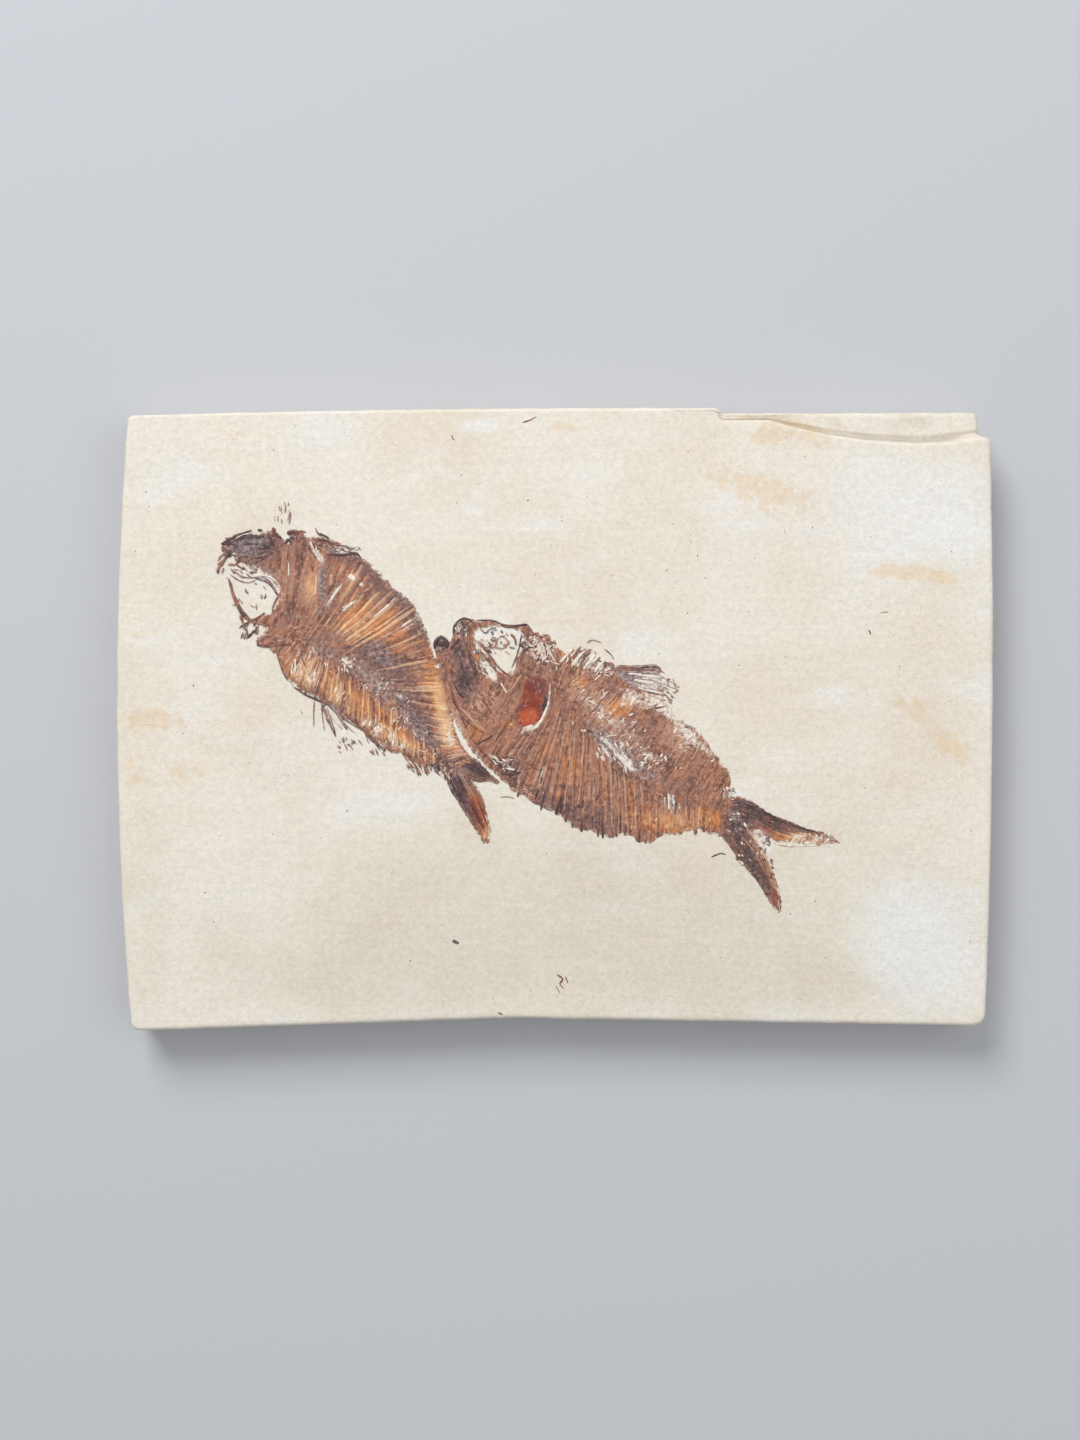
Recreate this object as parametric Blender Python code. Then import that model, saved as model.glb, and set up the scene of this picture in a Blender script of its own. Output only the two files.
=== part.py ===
"""Fossil fish slab: a flat limestone slab with two small fish pressed into its upper face.

Metres, +Z up. The slab lies on its underside with its long side along X. The origin is at the
middle of the underside. Each fish is a thin sheet of fossil bone that lies in a shallow pocket of
its own shape and stands a little proud of the stone.
"""

import math

import bmesh
import bpy
from mathutils import Vector
from mathutils.geometry import interpolate_bezier

MM = 0.001

# The slab.
SLAB_THICKNESS = 10.0 * MM
ARRIS_WIDTH = 0.9 * MM
ARRIS_SEGMENTS = 2
SIDE_STEP = 4.0 * MM
CORNER_STEPS = 5
CORNER_SHARE = 0.45  # the most of its shorter side that a corner may take up

# The spall at one corner, where the top layer of stone has come away.
SPALL_DEPTH = 1.0 * MM

# How far a cutter runs on past the stone.
CUT_CLEARANCE = 8.0 * MM

# The two fish.
FISH_THICKNESS = 0.6 * MM
FISH_PROUD = 0.3 * MM
FISH_GAP = 0.3 * MM
FISH_ARRIS = 0.2 * MM
CURVE_STEPS = 3

# Corners of the slab's outline, clockwise from above: x, y, corner radius, and the bow of the
# side that follows, outwards if above 0, all in millimetres.
SLAB_CORNERS = (
    (-74.4, 52.9, 1.2, 0.4),
    (27.9, 54.2, 0.5, 0.0),
    (29.3, 53.4, 0.5, 0.0),
    (73.6, 53.5, 1.4, 0.0),
    (73.8, 49.4, 0.3, 0.0),
    (75.8, 49.0, 1.3, 0.8),
    (74.9, -53.3, 2.6, 0.0),
    (-8.0, -51.9, 16.0, 0.0),
    (-73.8, -54.2, 2.0, 2.1),
)

# The curved lip of the spall, from its thin end to the notch at the corner, in millimetres.
SPALL_LIP = (
    (28.6, 54.0),
    (37.4, 52.2),
    (46.5, 49.9),
    (54.6, 48.7),
    (62.0, 48.3),
    (69.2, 48.7),
    (73.9, 49.5),
)

# Outlines of the fish, clockwise from the snout, in millimetres.
LEFT_FISH = (
    (-57.9, 30.3),
    (-56.0, 32.1),
    (-53.3, 33.0),
    (-50.5, 32.4),
    (-48.9, 33.2),
    (-47.2, 32.0),
    (-45.2, 33.0),
    (-42.8, 32.5),
    (-38.0, 30.4),
    (-34.4, 29.3),
    (-28.5, 23.4),
    (-25.3, 21.4),
    (-23.9, 18.2),
    (-22.5, 15.2),
    (-21.9, 12.0),
    (-20.2, 5.8),
    (-18.3, -0.8),
    (-15.9, -5.6),
    (-12.3, -9.2),
    (-10.6, -10.9),
    (-13.6, -11.2),
    (-13.0, -14.0),
    (-11.5, -20.0),
    (-12.3, -21.6),
    (-15.6, -16.5),
    (-18.9, -11.2),
    (-20.6, -8.9),
    (-25.5, -7.3),
    (-29.5, -5.2),
    (-36.0, 0.5),
    (-44.0, 5.0),
    (-46.9, 7.6),
    (-48.4, 11.4),
    (-52.4, 13.7),
    (-55.0, 19.0),
    (-56.8, 23.5),
    (-58.6, 25.4),
)
RIGHT_FISH = (
    (-20.6, 12.9),
    (-19.8, 14.2),
    (-18.4, 13.6),
    (-17.5, 16.2),
    (-15.8, 17.5),
    (-9.0, 16.9),
    (-4.4, 16.5),
    (-1.0, 14.0),
    (4.2, 12.3),
    (8.0, 10.8),
    (11.2, 9.5),
    (17.7, 9.3),
    (19.6, 5.0),
    (21.6, 0.7),
    (27.4, -5.3),
    (30.2, -9.0),
    (31.8, -12.4),
    (39.6, -17.7),
    (49.2, -21.2),
    (40.4, -22.3),
    (36.9, -22.9),
    (38.4, -28.0),
    (39.5, -31.8),
    (38.9, -33.4),
    (35.4, -28.9),
    (29.8, -21.3),
    (27.6, -19.6),
    (19.5, -20.2),
    (15.8, -21.4),
    (12.6, -20.4),
    (4.8, -19.2),
    (-1.6, -15.7),
    (-7.6, -12.0),
    (-11.3, -8.4),
    (-15.0, -4.2),
    (-17.4, 1.0),
    (-19.3, 7.4),
)


def material(name, colour, roughness):
    """A plain Principled BSDF material."""
    made = bpy.data.materials.new(name)
    made.use_nodes = True
    surface = made.node_tree.nodes["Principled BSDF"]
    surface.inputs["Base Color"].default_value = (*colour, 1.0)
    surface.inputs["Roughness"].default_value = roughness
    surface.inputs["Metallic"].default_value = 0.0
    return made


def corner_arc(before, corner, after, radius):
    """Points of a rounded corner: a quadratic curve from one side to the next."""
    into, out_of = before - corner, after - corner
    shorter_side = min(into.length, out_of.length)
    reach = min(radius / math.tan(into.angle(out_of) / 2), CORNER_SHARE * shorter_side)
    start = corner + into.normalized() * reach
    end = corner + out_of.normalized() * reach
    arc = interpolate_bezier(start, start.lerp(corner, 2 / 3), end.lerp(corner, 2 / 3), end, CORNER_STEPS)
    return [point.to_2d() for point in arc]


def bowed_side(start, end, bow):
    """Points between start and end on a parabola that rises by bow to the left of the way along."""
    along = end - start
    outwards = Vector((-along.y, along.x)).normalized()
    steps = max(2, round(along.length / SIDE_STEP))
    shares = [step / steps for step in range(1, steps)]
    return [start.lerp(end, share) + outwards * bow * 4 * share * (1 - share) for share in shares]


def slab_outline():
    """The slab's outline in metres, clockwise from above."""
    corners = [Vector((x, y)) * MM for x, y, _, _ in SLAB_CORNERS]
    count = len(corners)
    arcs = []
    for index, (_, _, radius, _) in enumerate(SLAB_CORNERS):
        after = corners[(index + 1) % count]
        arcs.append(corner_arc(corners[index - 1], corners[index], after, radius * MM))
    outline = []
    for index, (_, _, _, bow) in enumerate(SLAB_CORNERS):
        outline += arcs[index]
        outline += bowed_side(arcs[index][-1], arcs[(index + 1) % count][0], bow * MM)
    return outline


def smooth_loop(points):
    """A closed Catmull-Rom curve through points given in millimetres, as points in metres."""
    loop = [Vector(point) * MM for point in points]
    count = len(loop)
    smooth = []
    for index in range(count):
        before, start, end, after = (loop[(index + shift) % count] for shift in (-1, 0, 1, 2))
        handle_out = start + (end - before) / 6
        handle_in = end - (after - start) / 6
        curve = interpolate_bezier(start, handle_out, handle_in, end, CURVE_STEPS + 1)
        smooth += [point.to_2d() for point in curve[:-1]]
    return smooth


def grown(loop, distance):
    """A clockwise loop moved outwards by distance."""
    count = len(loop)
    moved = []
    for index, point in enumerate(loop):
        along = (loop[(index + 1) % count] - loop[index - 1]).normalized()
        moved.append(point + Vector((-along.y, along.x)) * distance)
    return moved


def prism(name, loop, low, high, arris=0.0, both_ends=False):
    """A solid with the plan of loop, from low to high, its upper or both edges eased by arris."""
    shape = bmesh.new()
    foot = shape.faces.new([shape.verts.new((point.x, point.y, low)) for point in loop])
    raised = bmesh.ops.extrude_face_region(shape, geom=[foot], use_keep_orig=True)["geom"]
    top_verts = [item for item in raised if isinstance(item, bmesh.types.BMVert)]
    bmesh.ops.translate(shape, vec=(0, 0, high - low), verts=top_verts)
    bmesh.ops.recalc_face_normals(shape, faces=shape.faces)
    if arris:
        middle = (low + high) / 2
        rims = [edge for edge in shape.edges if all(vert.co.z > middle for vert in edge.verts)]
        if both_ends:
            rims += [edge for edge in shape.edges if all(vert.co.z < middle for vert in edge.verts)]
        bmesh.ops.bevel(
            shape,
            geom=rims,
            offset=arris,
            segments=ARRIS_SEGMENTS,
            profile=0.5,
            affect="EDGES",
            clamp_overlap=True,
            material=-1,
        )
    mesh = bpy.data.meshes.new(name)
    shape.to_mesh(mesh)
    shape.free()
    made = bpy.data.objects.new(name, mesh)
    bpy.context.scene.collection.objects.link(made)
    return made


def as_cutter(made):
    """Marks an object as one that only cuts."""
    made.hide_render = True
    made.display_type = "WIRE"
    return made


def cut(target, cutter):
    """Cuts cutter out of target."""
    modifier = target.modifiers.new("cut_" + cutter.name, "BOOLEAN")
    modifier.operation = "DIFFERENCE"
    modifier.solver = "EXACT"
    modifier.object = cutter


def spall_cutter():
    """The stone lost at the corner: everything outside the lip, down to the next bedding plane."""
    lip = [Vector(point) * MM for point in SPALL_LIP]
    left, right = lip[0].x, lip[-1].x + CUT_CLEARANCE
    outside = [Vector((right, lip[-1].y)), Vector((right, lip[0].y + CUT_CLEARANCE))]
    outside.append(Vector((left, lip[0].y + CUT_CLEARANCE)))
    floor = SLAB_THICKNESS - SPALL_DEPTH
    return as_cutter(prism("spall_cutter", lip + outside, floor, SLAB_THICKNESS + CUT_CLEARANCE))


def fish(name, points, bone):
    """One fish as a thin sheet that follows the outline of its bones."""
    top = SLAB_THICKNESS + FISH_PROUD
    made = prism(name, smooth_loop(points), top - FISH_THICKNESS, top, FISH_ARRIS)
    made.data.materials.append(bone)
    return made


def pocket_cutter(name, points):
    """The pocket that a fish lies in, wider and deeper than the fish by the gap."""
    floor = SLAB_THICKNESS + FISH_PROUD - FISH_THICKNESS - FISH_GAP
    loop = grown(smooth_loop(points), FISH_GAP)
    return as_cutter(prism(name, loop, floor, SLAB_THICKNESS + CUT_CLEARANCE))


def limestone_slab(stone):
    """The slab, with the spalled corner and a pocket for each fish."""
    slab = prism("limestone_slab", slab_outline(), 0.0, SLAB_THICKNESS, ARRIS_WIDTH, both_ends=True)
    slab.data.materials.append(stone)
    cut(slab, spall_cutter())
    cut(slab, pocket_cutter("left_pocket_cutter", LEFT_FISH))
    cut(slab, pocket_cutter("right_pocket_cutter", RIGHT_FISH))
    return slab


def main():
    """Clears the scene and builds the slab and its two fish."""
    for found in list(bpy.data.objects):
        bpy.data.objects.remove(found)
    stone = material("limestone", (0.74, 0.68, 0.56), 0.9)
    bone = material("fossil_bone", (0.27, 0.13, 0.07), 0.55)
    limestone_slab(stone)
    fish("left_fish", LEFT_FISH, bone)
    fish("right_fish", RIGHT_FISH, bone)


main()
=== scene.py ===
import math
import random

import bmesh
import bpy
import numpy as np
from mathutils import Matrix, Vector, noise


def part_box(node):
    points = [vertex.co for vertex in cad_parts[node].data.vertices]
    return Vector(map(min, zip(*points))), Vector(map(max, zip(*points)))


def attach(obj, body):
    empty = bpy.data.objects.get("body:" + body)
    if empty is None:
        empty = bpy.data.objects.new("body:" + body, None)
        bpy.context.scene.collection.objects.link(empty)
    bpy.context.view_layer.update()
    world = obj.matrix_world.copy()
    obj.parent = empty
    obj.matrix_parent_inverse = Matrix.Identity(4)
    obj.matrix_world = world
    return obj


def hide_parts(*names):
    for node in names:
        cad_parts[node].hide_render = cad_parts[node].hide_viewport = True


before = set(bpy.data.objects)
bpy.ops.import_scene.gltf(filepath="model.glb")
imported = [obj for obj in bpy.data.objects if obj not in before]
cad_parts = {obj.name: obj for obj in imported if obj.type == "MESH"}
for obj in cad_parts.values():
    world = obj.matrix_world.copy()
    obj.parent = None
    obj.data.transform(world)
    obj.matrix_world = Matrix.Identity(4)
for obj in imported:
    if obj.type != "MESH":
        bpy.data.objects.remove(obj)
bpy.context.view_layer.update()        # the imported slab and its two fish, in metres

mm = 0.001
slabLow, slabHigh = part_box("limestone_slab")
faceHeight = slabHigh.z / mm        # the upper face, in mm above the floor
print("frame: slab", [round(side / mm, 1) for side in slabHigh - slabLow], "mm")


# Small helpers. Lengths are in mm until a piece is finished.

def srgb(red, green, blue):
    # 0 to 255 as a picture editor gives it, as the linear colour that shaders use
    shares = [value / 255 for value in (red, green, blue)]
    return (*[s / 12.92 if s <= 0.04045 else ((s + 0.055) / 1.055) ** 2.4 for s in shares], 1.0)


def smoothStep(values, low, high):
    share = np.clip((values - low) / (high - low), 0.0, 1.0)
    return share * share * (3 - 2 * share)


def roughness(x, y, scale, seed):
    # smooth noise from -1 to 1 at every point; scale is in bumps to the mm
    return np.array([noise.noise(Vector((a * scale, b * scale, seed))) for a, b in zip(x, y)])


def spline(points, count):
    # count points on a smooth curve through the given ones
    known = np.asarray(points, float)
    last = len(known) - 1
    way = np.linspace(0, last, count)
    start = np.minimum(way.astype(int), last - 1)
    share = (way - start).reshape(-1, *[1] * (known.ndim - 1))
    before, a = known[np.maximum(start - 1, 0)], known[start]
    b, after = known[start + 1], known[np.minimum(start + 2, last)]
    square = (2 * before - 5 * a + 4 * b - after) * share ** 2
    cube = (3 * a - before - 3 * b + after) * share ** 3
    return 0.5 * (2 * a + (b - before) * share + (square + cube))


def lengthsAlong(points):
    return np.concatenate([[0.0], np.cumsum(np.linalg.norm(np.diff(points, axis=0), axis=1))])


def evenly(points, shares):
    # points at the given shares of a polyline's length
    run = lengthsAlong(points)
    at = np.asarray(shares) * run[-1]
    return np.stack([np.interp(at, run, points[:, axis]) for axis in range(points.shape[1])], axis=1)


def finishPiece(shape, name, material):
    bmesh.ops.scale(shape, vec=(mm, mm, mm), verts=shape.verts)
    mesh = bpy.data.meshes.new(name)
    shape.to_mesh(mesh)
    shape.free()
    mesh.shade_smooth()
    mesh.materials.append(material)
    piece = bpy.data.objects.new(name, mesh)
    bpy.context.scene.collection.objects.link(piece)
    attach(piece, "root")
    print(" ", name, len(mesh.polygons), "faces")
    return piece


def meshPoints(mesh):
    # a mesh's points in mm
    flat = np.zeros(len(mesh.vertices) * 3)
    mesh.vertices.foreach_get("co", flat)
    return flat.reshape(-1, 3) / mm


def paint(mesh, name, columns):
    # up to four values at each point, kept as a colour attribute
    filled = np.zeros((len(mesh.vertices), 4))
    for index, column in enumerate(columns):
        filled[:, index] = np.clip(column, 0.0, 1.0)
    layer = mesh.attributes.new(name, "FLOAT_COLOR", "POINT")
    layer.data.foreach_set("color", filled.ravel())


patchFade = {"fall": 1.4, "power": 1.5}        # how an oval patch fades out from its middle


def inPatches(x, y, patches):
    # soft oval patches laid over each other: x, y, two radii, turn in degrees, strength
    left = np.ones(len(x))
    for patchX, patchY, long, short, turn, strength in patches:
        cos, sin = math.cos(math.radians(turn)), math.sin(math.radians(turn))
        along = ((x - patchX) * cos + (y - patchY) * sin) / long
        across = ((y - patchY) * cos - (x - patchX) * sin) / short
        far = (along ** 2 + across ** 2) ** patchFade["power"]
        left *= 1 - min(strength, 1.0) * np.exp(-patchFade["fall"] * far)
    return 1 - left


# The stone.

slab = {
    "corners": (        # x, y, radius and the bow of the side that follows, clockwise
        (-74.4, 52.9, 1.2, 0.4), (27.9, 54.2, 0.5, 0), (29.3, 53.4, 0.5, 0), (73.6, 53.5, 1.4, 0),
        (73.8, 49.4, 0.3, 0), (75.8, 49, 1.3, 0.8), (74.9, -53.3, 2.6, 0), (-8, -51.9, 16, 0),
        (-73.8, -54.2, 2, 2.1),
    ),
    "cornerShare": 0.45,        # the most of its shorter side that a corner takes up
    "cornerSteps": 9, "sideSteps": 60,
    "gridAcross": 264, "gridBelowLip": 176, "gridAboveLip": 12,
    "leftShares": (0.955, 0.045),        # of the left side, below and above the row of the lip
    "tangentStep": 0.004,        # the share of a side to look ahead and behind
    "seed": 4,
    # the face: its depth under the CAD face, and strength, bumps to the mm and seed of its waves
    "faceDrop": 0.2, "waves": ((0.09, 0.035, 3.1), (0.03, 0.14, 8.2)),
    "swell": 0.22, "swellFade": 60, "spineSteps": 60,        # the rise under each fish
    # the corner where the top layer has come away
    "spallLip": (
        (28.9, 54.6), (33, 53.1), (36.3, 52.5), (40.6, 51.2), (45.1, 50.2), (49.4, 49.4), (53.8, 48.8),
        (58.2, 48.5), (62.6, 48.3), (67, 48.5), (70.3, 49), (74, 49.5),
    ),
    "spallLeast": 0.45, "spallRows": (0.03, 0.3, 0.55),        # its least width and its first rows
    "lipRounding": (0.02, 0.14),        # how much the last two rows before the lip sink
    "spallDrop": 0.9, "spallGroove": 0.45, "spallUndercut": 0.12,
    # the walls: where they start below the face, and how much shorter they are than the slab
    "wallTop": 1.1, "wallLess": 1.9,
    "arris": 0.75, "arrisTurns": (30.0, 60.0, 90.0), "arrisDrop": 1.15, "arrisNickDrop": 3,
    "wobble": 0.14, "wobblePlace": 0.11,        # how the edge wanders, coarsely and finely
    "wobbleCoarse": 2.2, "wobbleFine": 7, "wobbleFineShare": 0.6,
    "beds": 9, "bedShares": (0.6, 1.4), "bedGap": 0.04, "bedSpacing": 0.03,
    "bedRecess": 0.28, "bedLeast": 0.7, "bedVary": 0.6, "bedLift": 0.12,
    "bedPatch": (1.3, 3.7), "bedChip": (5, 1.9),        # scale of the noise, and its step to the next bed
    "chipFrom": 0.25, "chipDepth": 0.9,
    "footTurns": (45.0, 90.0), "footStart": 0.1, "footReach": 0.5, "footTop": 0.55, "footDrop": 0.45,
    # the underside, which dips in and out a little above the floor
    "underInset": 1.3, "underRise": 0.22, "underBroad": (0.3, 0.05), "underFine": (0.1, 0.4),
    # painted patches: x, y, two radii, turn in degrees, strength
    "ochre": (
        (66, 25, 3.6, 1.5, -12, 1), (59.5, 25.6, 6.5, 1.9, -6, 0.85), (37.5, 49.5, 4.4, 2.6, 10, 0.85),
        (44.5, 49.6, 4, 2.2, -20, 0.8), (36, 39.6, 9, 4.2, -12, 0.75), (29, 43, 5, 2.6, 0, 0.4),
        (62, 1.6, 6, 2.8, -30, 0.6), (69, -4.6, 5, 2.8, -32, 0.7), (58, -10.6, 4, 2, 0, 0.3),
        (-70, 0, 6.5, 2.4, -4, 0.9), (-64, -9, 5, 2.2, 10, 0.6), (-73, -9, 3, 4, 0, 0.5),
        (-55.5, 49.4, 3.5, 1.8, 0, 0.35), (-72, 16, 4, 7, 0, 0.3), (8, 8, 9, 4, 0, 0.15),
        (2, 51, 4, 1.6, 0, 0.4), (66.6, 24.4, 2.6, 1, -14, 1),
    ),
    "chalk": (
        (60, 36, 17, 11, -15, 0.6), (70, 36, 8, 10, 0, 0.6), (56, 27, 9, 4, 10, 0.3),
        (63, -39, 13, 15, 30, 0.95), (-13, 51, 4.5, 1.6, 0, 0.9), (-69, 45, 8, 9, 0, 0.35),
        (10, -48, 14, 4, 0, 0.2), (31.2, -13, 2, 1.2, -20, 1), (36.4, -22, 1.5, 2, 10, 1),
        (19.9, -14.3, 1.5, 1.5, 0, 1),
    ),
    # darker grey-brown patches, the broadest of them over the lower half of the slab
    "darkening": (
        (-58, -38, 7, 6, 20, 0.35), (-47, 35.5, 3, 3.5, 0, 0.35), (0, -34, 60, 19, 0, 0.8),
        (-30, -44, 36, 9, 0, 0.7), (36, -46, 26, 7, 0, 0.7), (40, -20, 16, 6, -10, 0.2),
        (-70, -30, 6, 20, 0, 0.4), (64, -40, 12, 14, 0, 0.4),
    ),
    "wornBelowFace": (1.5, 0.45),        # depths between which the stone turns from wall to face
    # the last three are painted shade darkening the groove of the lost layer: how deep it reaches, and
    # where it fades in at each end
    "grooveShadeDepth": 2, "grooveShadeLeft": (30, 46), "grooveShadeRight": (-73, -68),        # in the groove of the lost layer
}


def slabOutline():
    # the outline as separate sides: top, upper right, lower right, bottom and left
    corners = [np.array(corner[:2]) for corner in slab["corners"]]
    arcs = []
    for index, (_, _, radius, _) in enumerate(slab["corners"]):
        corner = corners[index]
        into, outOf = corners[index - 1] - corner, corners[(index + 1) % len(corners)] - corner
        lengths = np.linalg.norm(into), np.linalg.norm(outOf)
        half = math.acos(np.clip(into @ outOf / (lengths[0] * lengths[1]), -1, 1)) / 2
        reach = min(radius / math.tan(half), slab["cornerShare"] * min(lengths))
        start, end = corner + into / lengths[0] * reach, corner + outOf / lengths[1] * reach
        share = np.linspace(0, 1, slab["cornerSteps"]).reshape(-1, 1)
        arcs.append(start * (1 - share) ** 2 + corner * 2 * share * (1 - share) + end * share ** 2)
    sides = []
    for index, (_, _, _, bow) in enumerate(slab["corners"]):
        start, end = arcs[index][-1], arcs[(index + 1) % len(arcs)][0]
        along = end - start
        outwards = np.array([-along[1], along[0]]) / np.linalg.norm(along)
        share = np.linspace(0, 1, slab["sideSteps"]).reshape(-1, 1)
        sides.append(start + along * share + outwards * bow * 4 * share * (1 - share))
    middle = slab["cornerSteps"] // 2

    def joined(first, last):
        # from the middle of one corner to the middle of another, with all that lies between them
        line = [arcs[first % len(arcs)][middle:], sides[first]]
        for index in range(first + 1, last):
            line += [arcs[index], sides[index]]
        return np.concatenate([*line, arcs[last % len(arcs)][:middle + 1]])

    return joined(0, 3), joined(3, 4), joined(4, 6), joined(6, 8), joined(8, 9)


def lipHeight(x):
    # how far up the slab the top layer of stone reaches
    lip = np.array(slab["spallLip"])
    return np.where(x < lip[0, 0], 99.0, np.interp(x, lip[:, 0], lip[:, 1]))


def swellUnder(x, y):
    # the stone rises a little under each fish
    swell = np.zeros(len(x))
    for fish in (leftFish, rightFish):
        spine = spline(np.reshape(fish["stations"], (-1, 3, 2))[:, 1], slab["spineSteps"])
        nearest = np.full(len(x), 1e9)
        for spineX, spineY in spine:
            nearest = np.minimum(nearest, (x - spineX) ** 2 + (y - spineY) ** 2)
        swell = np.maximum(swell, slab["swell"] * np.exp(-nearest / slab["swellFade"]))
    return swell


def stoneHeight(x, y):
    x, y = np.asarray(x, float), np.asarray(y, float)
    broad, fine = [strength * roughness(x, y, scale, seed) for strength, scale, seed in slab["waves"]]
    return faceHeight - slab["faceDrop"] + (broad + fine) + swellUnder(x, y)


def patchRow(shareX, shareY, low, high, left, right):
    # a patch between four edges, whose own wanderings fade a little way in
    fadeLeft, fadeRight = (1 - shareX) ** 3, shareX ** 3
    plain = low * (1 - shareY) + high * shareY
    return plain + (left - plain[0]) * fadeLeft + (right - plain[-1]) * fadeRight


def slabGrid(across, belowLip, aboveLip, inset, sides):
    # plan places for a grid of points, keyed by column and row
    top, upperRight, lowerRight, bottom, left = sides
    rows = belowLip + aboveLip
    columns = np.linspace(0, 1, across + 1)
    middle = np.zeros((across + 1, rows + 1, 2))

    def insetLine(points, shares):
        line = evenly(points, shares)
        ahead = evenly(points, np.clip(np.asarray(shares) + slab["tangentStep"], 0, 1))
        behind = evenly(points, np.clip(np.asarray(shares) - slab["tangentStep"], 0, 1))
        along = ahead - behind
        along /= np.linalg.norm(along, axis=1).reshape(-1, 1)
        inwards = np.stack([along[:, 1], -along[:, 0]], axis=1)
        return line + inwards * inset, line, -inwards

    topIn, topOut, topNormal = insetLine(top, columns)
    lowIn, lowOut, lowNormal = insetLine(bottom, 1 - columns)
    belowShares = np.linspace(0, 1, belowLip + 1)
    aboveShares = np.linspace(0, 1, aboveLip + 1)
    lower, upper = slab["leftShares"]
    leftShares = np.concatenate([belowShares * lower, lower + upper * aboveShares[1:]])
    leftIn, leftOut, leftNormal = insetLine(left, leftShares)
    rightLow = insetLine(lowerRight, 1 - belowShares)
    rightHigh = insetLine(upperRight, 1 - aboveShares)
    rightIn, rightOut, rightNormal = [np.concatenate([a, b[1:]]) for a, b in zip(rightLow, rightHigh)]
    lipLine = topIn.copy()
    lipLine[:, 1] = np.minimum(topIn[:, 1] - slab["spallLeast"], lipHeight(topIn[:, 0]))
    lost = topIn[:, 1] - lipLine[:, 1]
    steps = [np.minimum(reach / lost, (row + 1) / aboveLip) for row, reach in enumerate(slab["spallRows"])]
    near, others = steps[-1], aboveLip - len(steps)
    steps += [near + (1 - near) * index / others for index in range(1, others + 1)]
    for row in range(rows + 1):
        if row <= belowLip:
            low, high, shareY = lowIn, lipLine, belowShares[row]
        else:
            low, high, shareY = lipLine, topIn, steps[row - belowLip - 1].reshape(-1, 1)
        middle[:, row] = patchRow(columns.reshape(-1, 1), shareY, low, high, leftIn[row], rightIn[row])
    rim = {}
    for column in range(across + 1):
        rim[column, 0] = lowOut[column], lowNormal[column]
        rim[column, rows] = topOut[column], topNormal[column]
    for row in range(1, rows):
        rim[0, row] = leftOut[row], leftNormal[row]
        rim[across, row] = rightOut[row], rightNormal[row]
    return middle, rim


def wallRings():
    # the rings of points down the walls: the rounded arris, the beds of stone and the lower arris
    random.seed(slab["seed"])
    depths = np.cumsum([random.uniform(*slab["bedShares"]) for _ in range(slab["beds"])])
    drop = faceHeight - slab["wallLess"]
    levels = faceHeight - slab["wallTop"] - np.concatenate([[0], depths / depths[-1]]) * drop
    recesses = [random.uniform(0.0, 1.0) for _ in range(slab["beds"])]
    rings = [("arris", turn, 0.0) for turn in slab["arrisTurns"]]
    for bed, recess in enumerate(recesses):
        high, low = levels[bed], levels[bed + 1]
        for level in (high - slab["bedGap"], (high + low) / 2, low + slab["bedGap"]):
            rings.append((bed, level, recess))
    return rings + [("foot", turn, 0.0) for turn in slab["footTurns"]]


def wallPlace(ring, count, spot, outwards, top):
    # a ring is its kind or the number of its bed, its turn in degrees or its level, and its recess
    kind, given, recess = ring
    place = Vector((spot[0] * slab["wobblePlace"], spot[1] * slab["wobblePlace"], 0.0))
    fine = noise.noise(place * slab["wobbleFine"] + Vector((9, 0, 0)))
    nick = slab["wobble"] * (noise.noise(place * slab["wobbleCoarse"]) + slab["wobbleFineShare"] * fine)
    drop = slab["arris"] * (slab["arrisDrop"] + slab["arrisNickDrop"] * nick)
    if kind == "arris":
        turn = math.radians(given)
        push = nick - slab["arris"] * (1 - math.sin(turn))
        level = top - drop * (1 - math.cos(turn))
    elif kind == "foot":
        turn = math.radians(given)
        push = nick - slab["footStart"] - slab["footReach"] * (1 - math.cos(turn))
        level = slab["footTop"] - slab["footDrop"] * math.sin(turn)
    else:
        (patchScale, patchStep), (chipScale, chipStep) = slab["bedPatch"], slab["bedChip"]
        patchy = noise.noise(place * patchScale + Vector((0, 0, kind * patchStep)))
        chips = noise.noise(place * chipScale + Vector((0, 0, kind * chipStep)))
        chips = slab["chipDepth"] * max(0.0, chips - slab["chipFrom"])
        push = nick - slab["bedRecess"] * (recess * (slab["bedLeast"] + slab["bedVary"] * patchy) + chips)
        lowest = top - drop - slab["bedSpacing"] * (count - 2)
        level = min(given + slab["bedLift"] * patchy, lowest)
    return spot[0] + outwards[0] * push, spot[1] + outwards[1] * push, level


def underHeight(x, y):
    (broad, broadScale), (fine, fineScale) = slab["underBroad"], slab["underFine"]
    dip = slab["underRise"] + broad * noise.noise(Vector((x * broadScale, y * broadScale, 5)))
    return max(dip + fine * noise.noise(Vector((x, y, 9)) * fineScale), 0.0)


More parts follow.
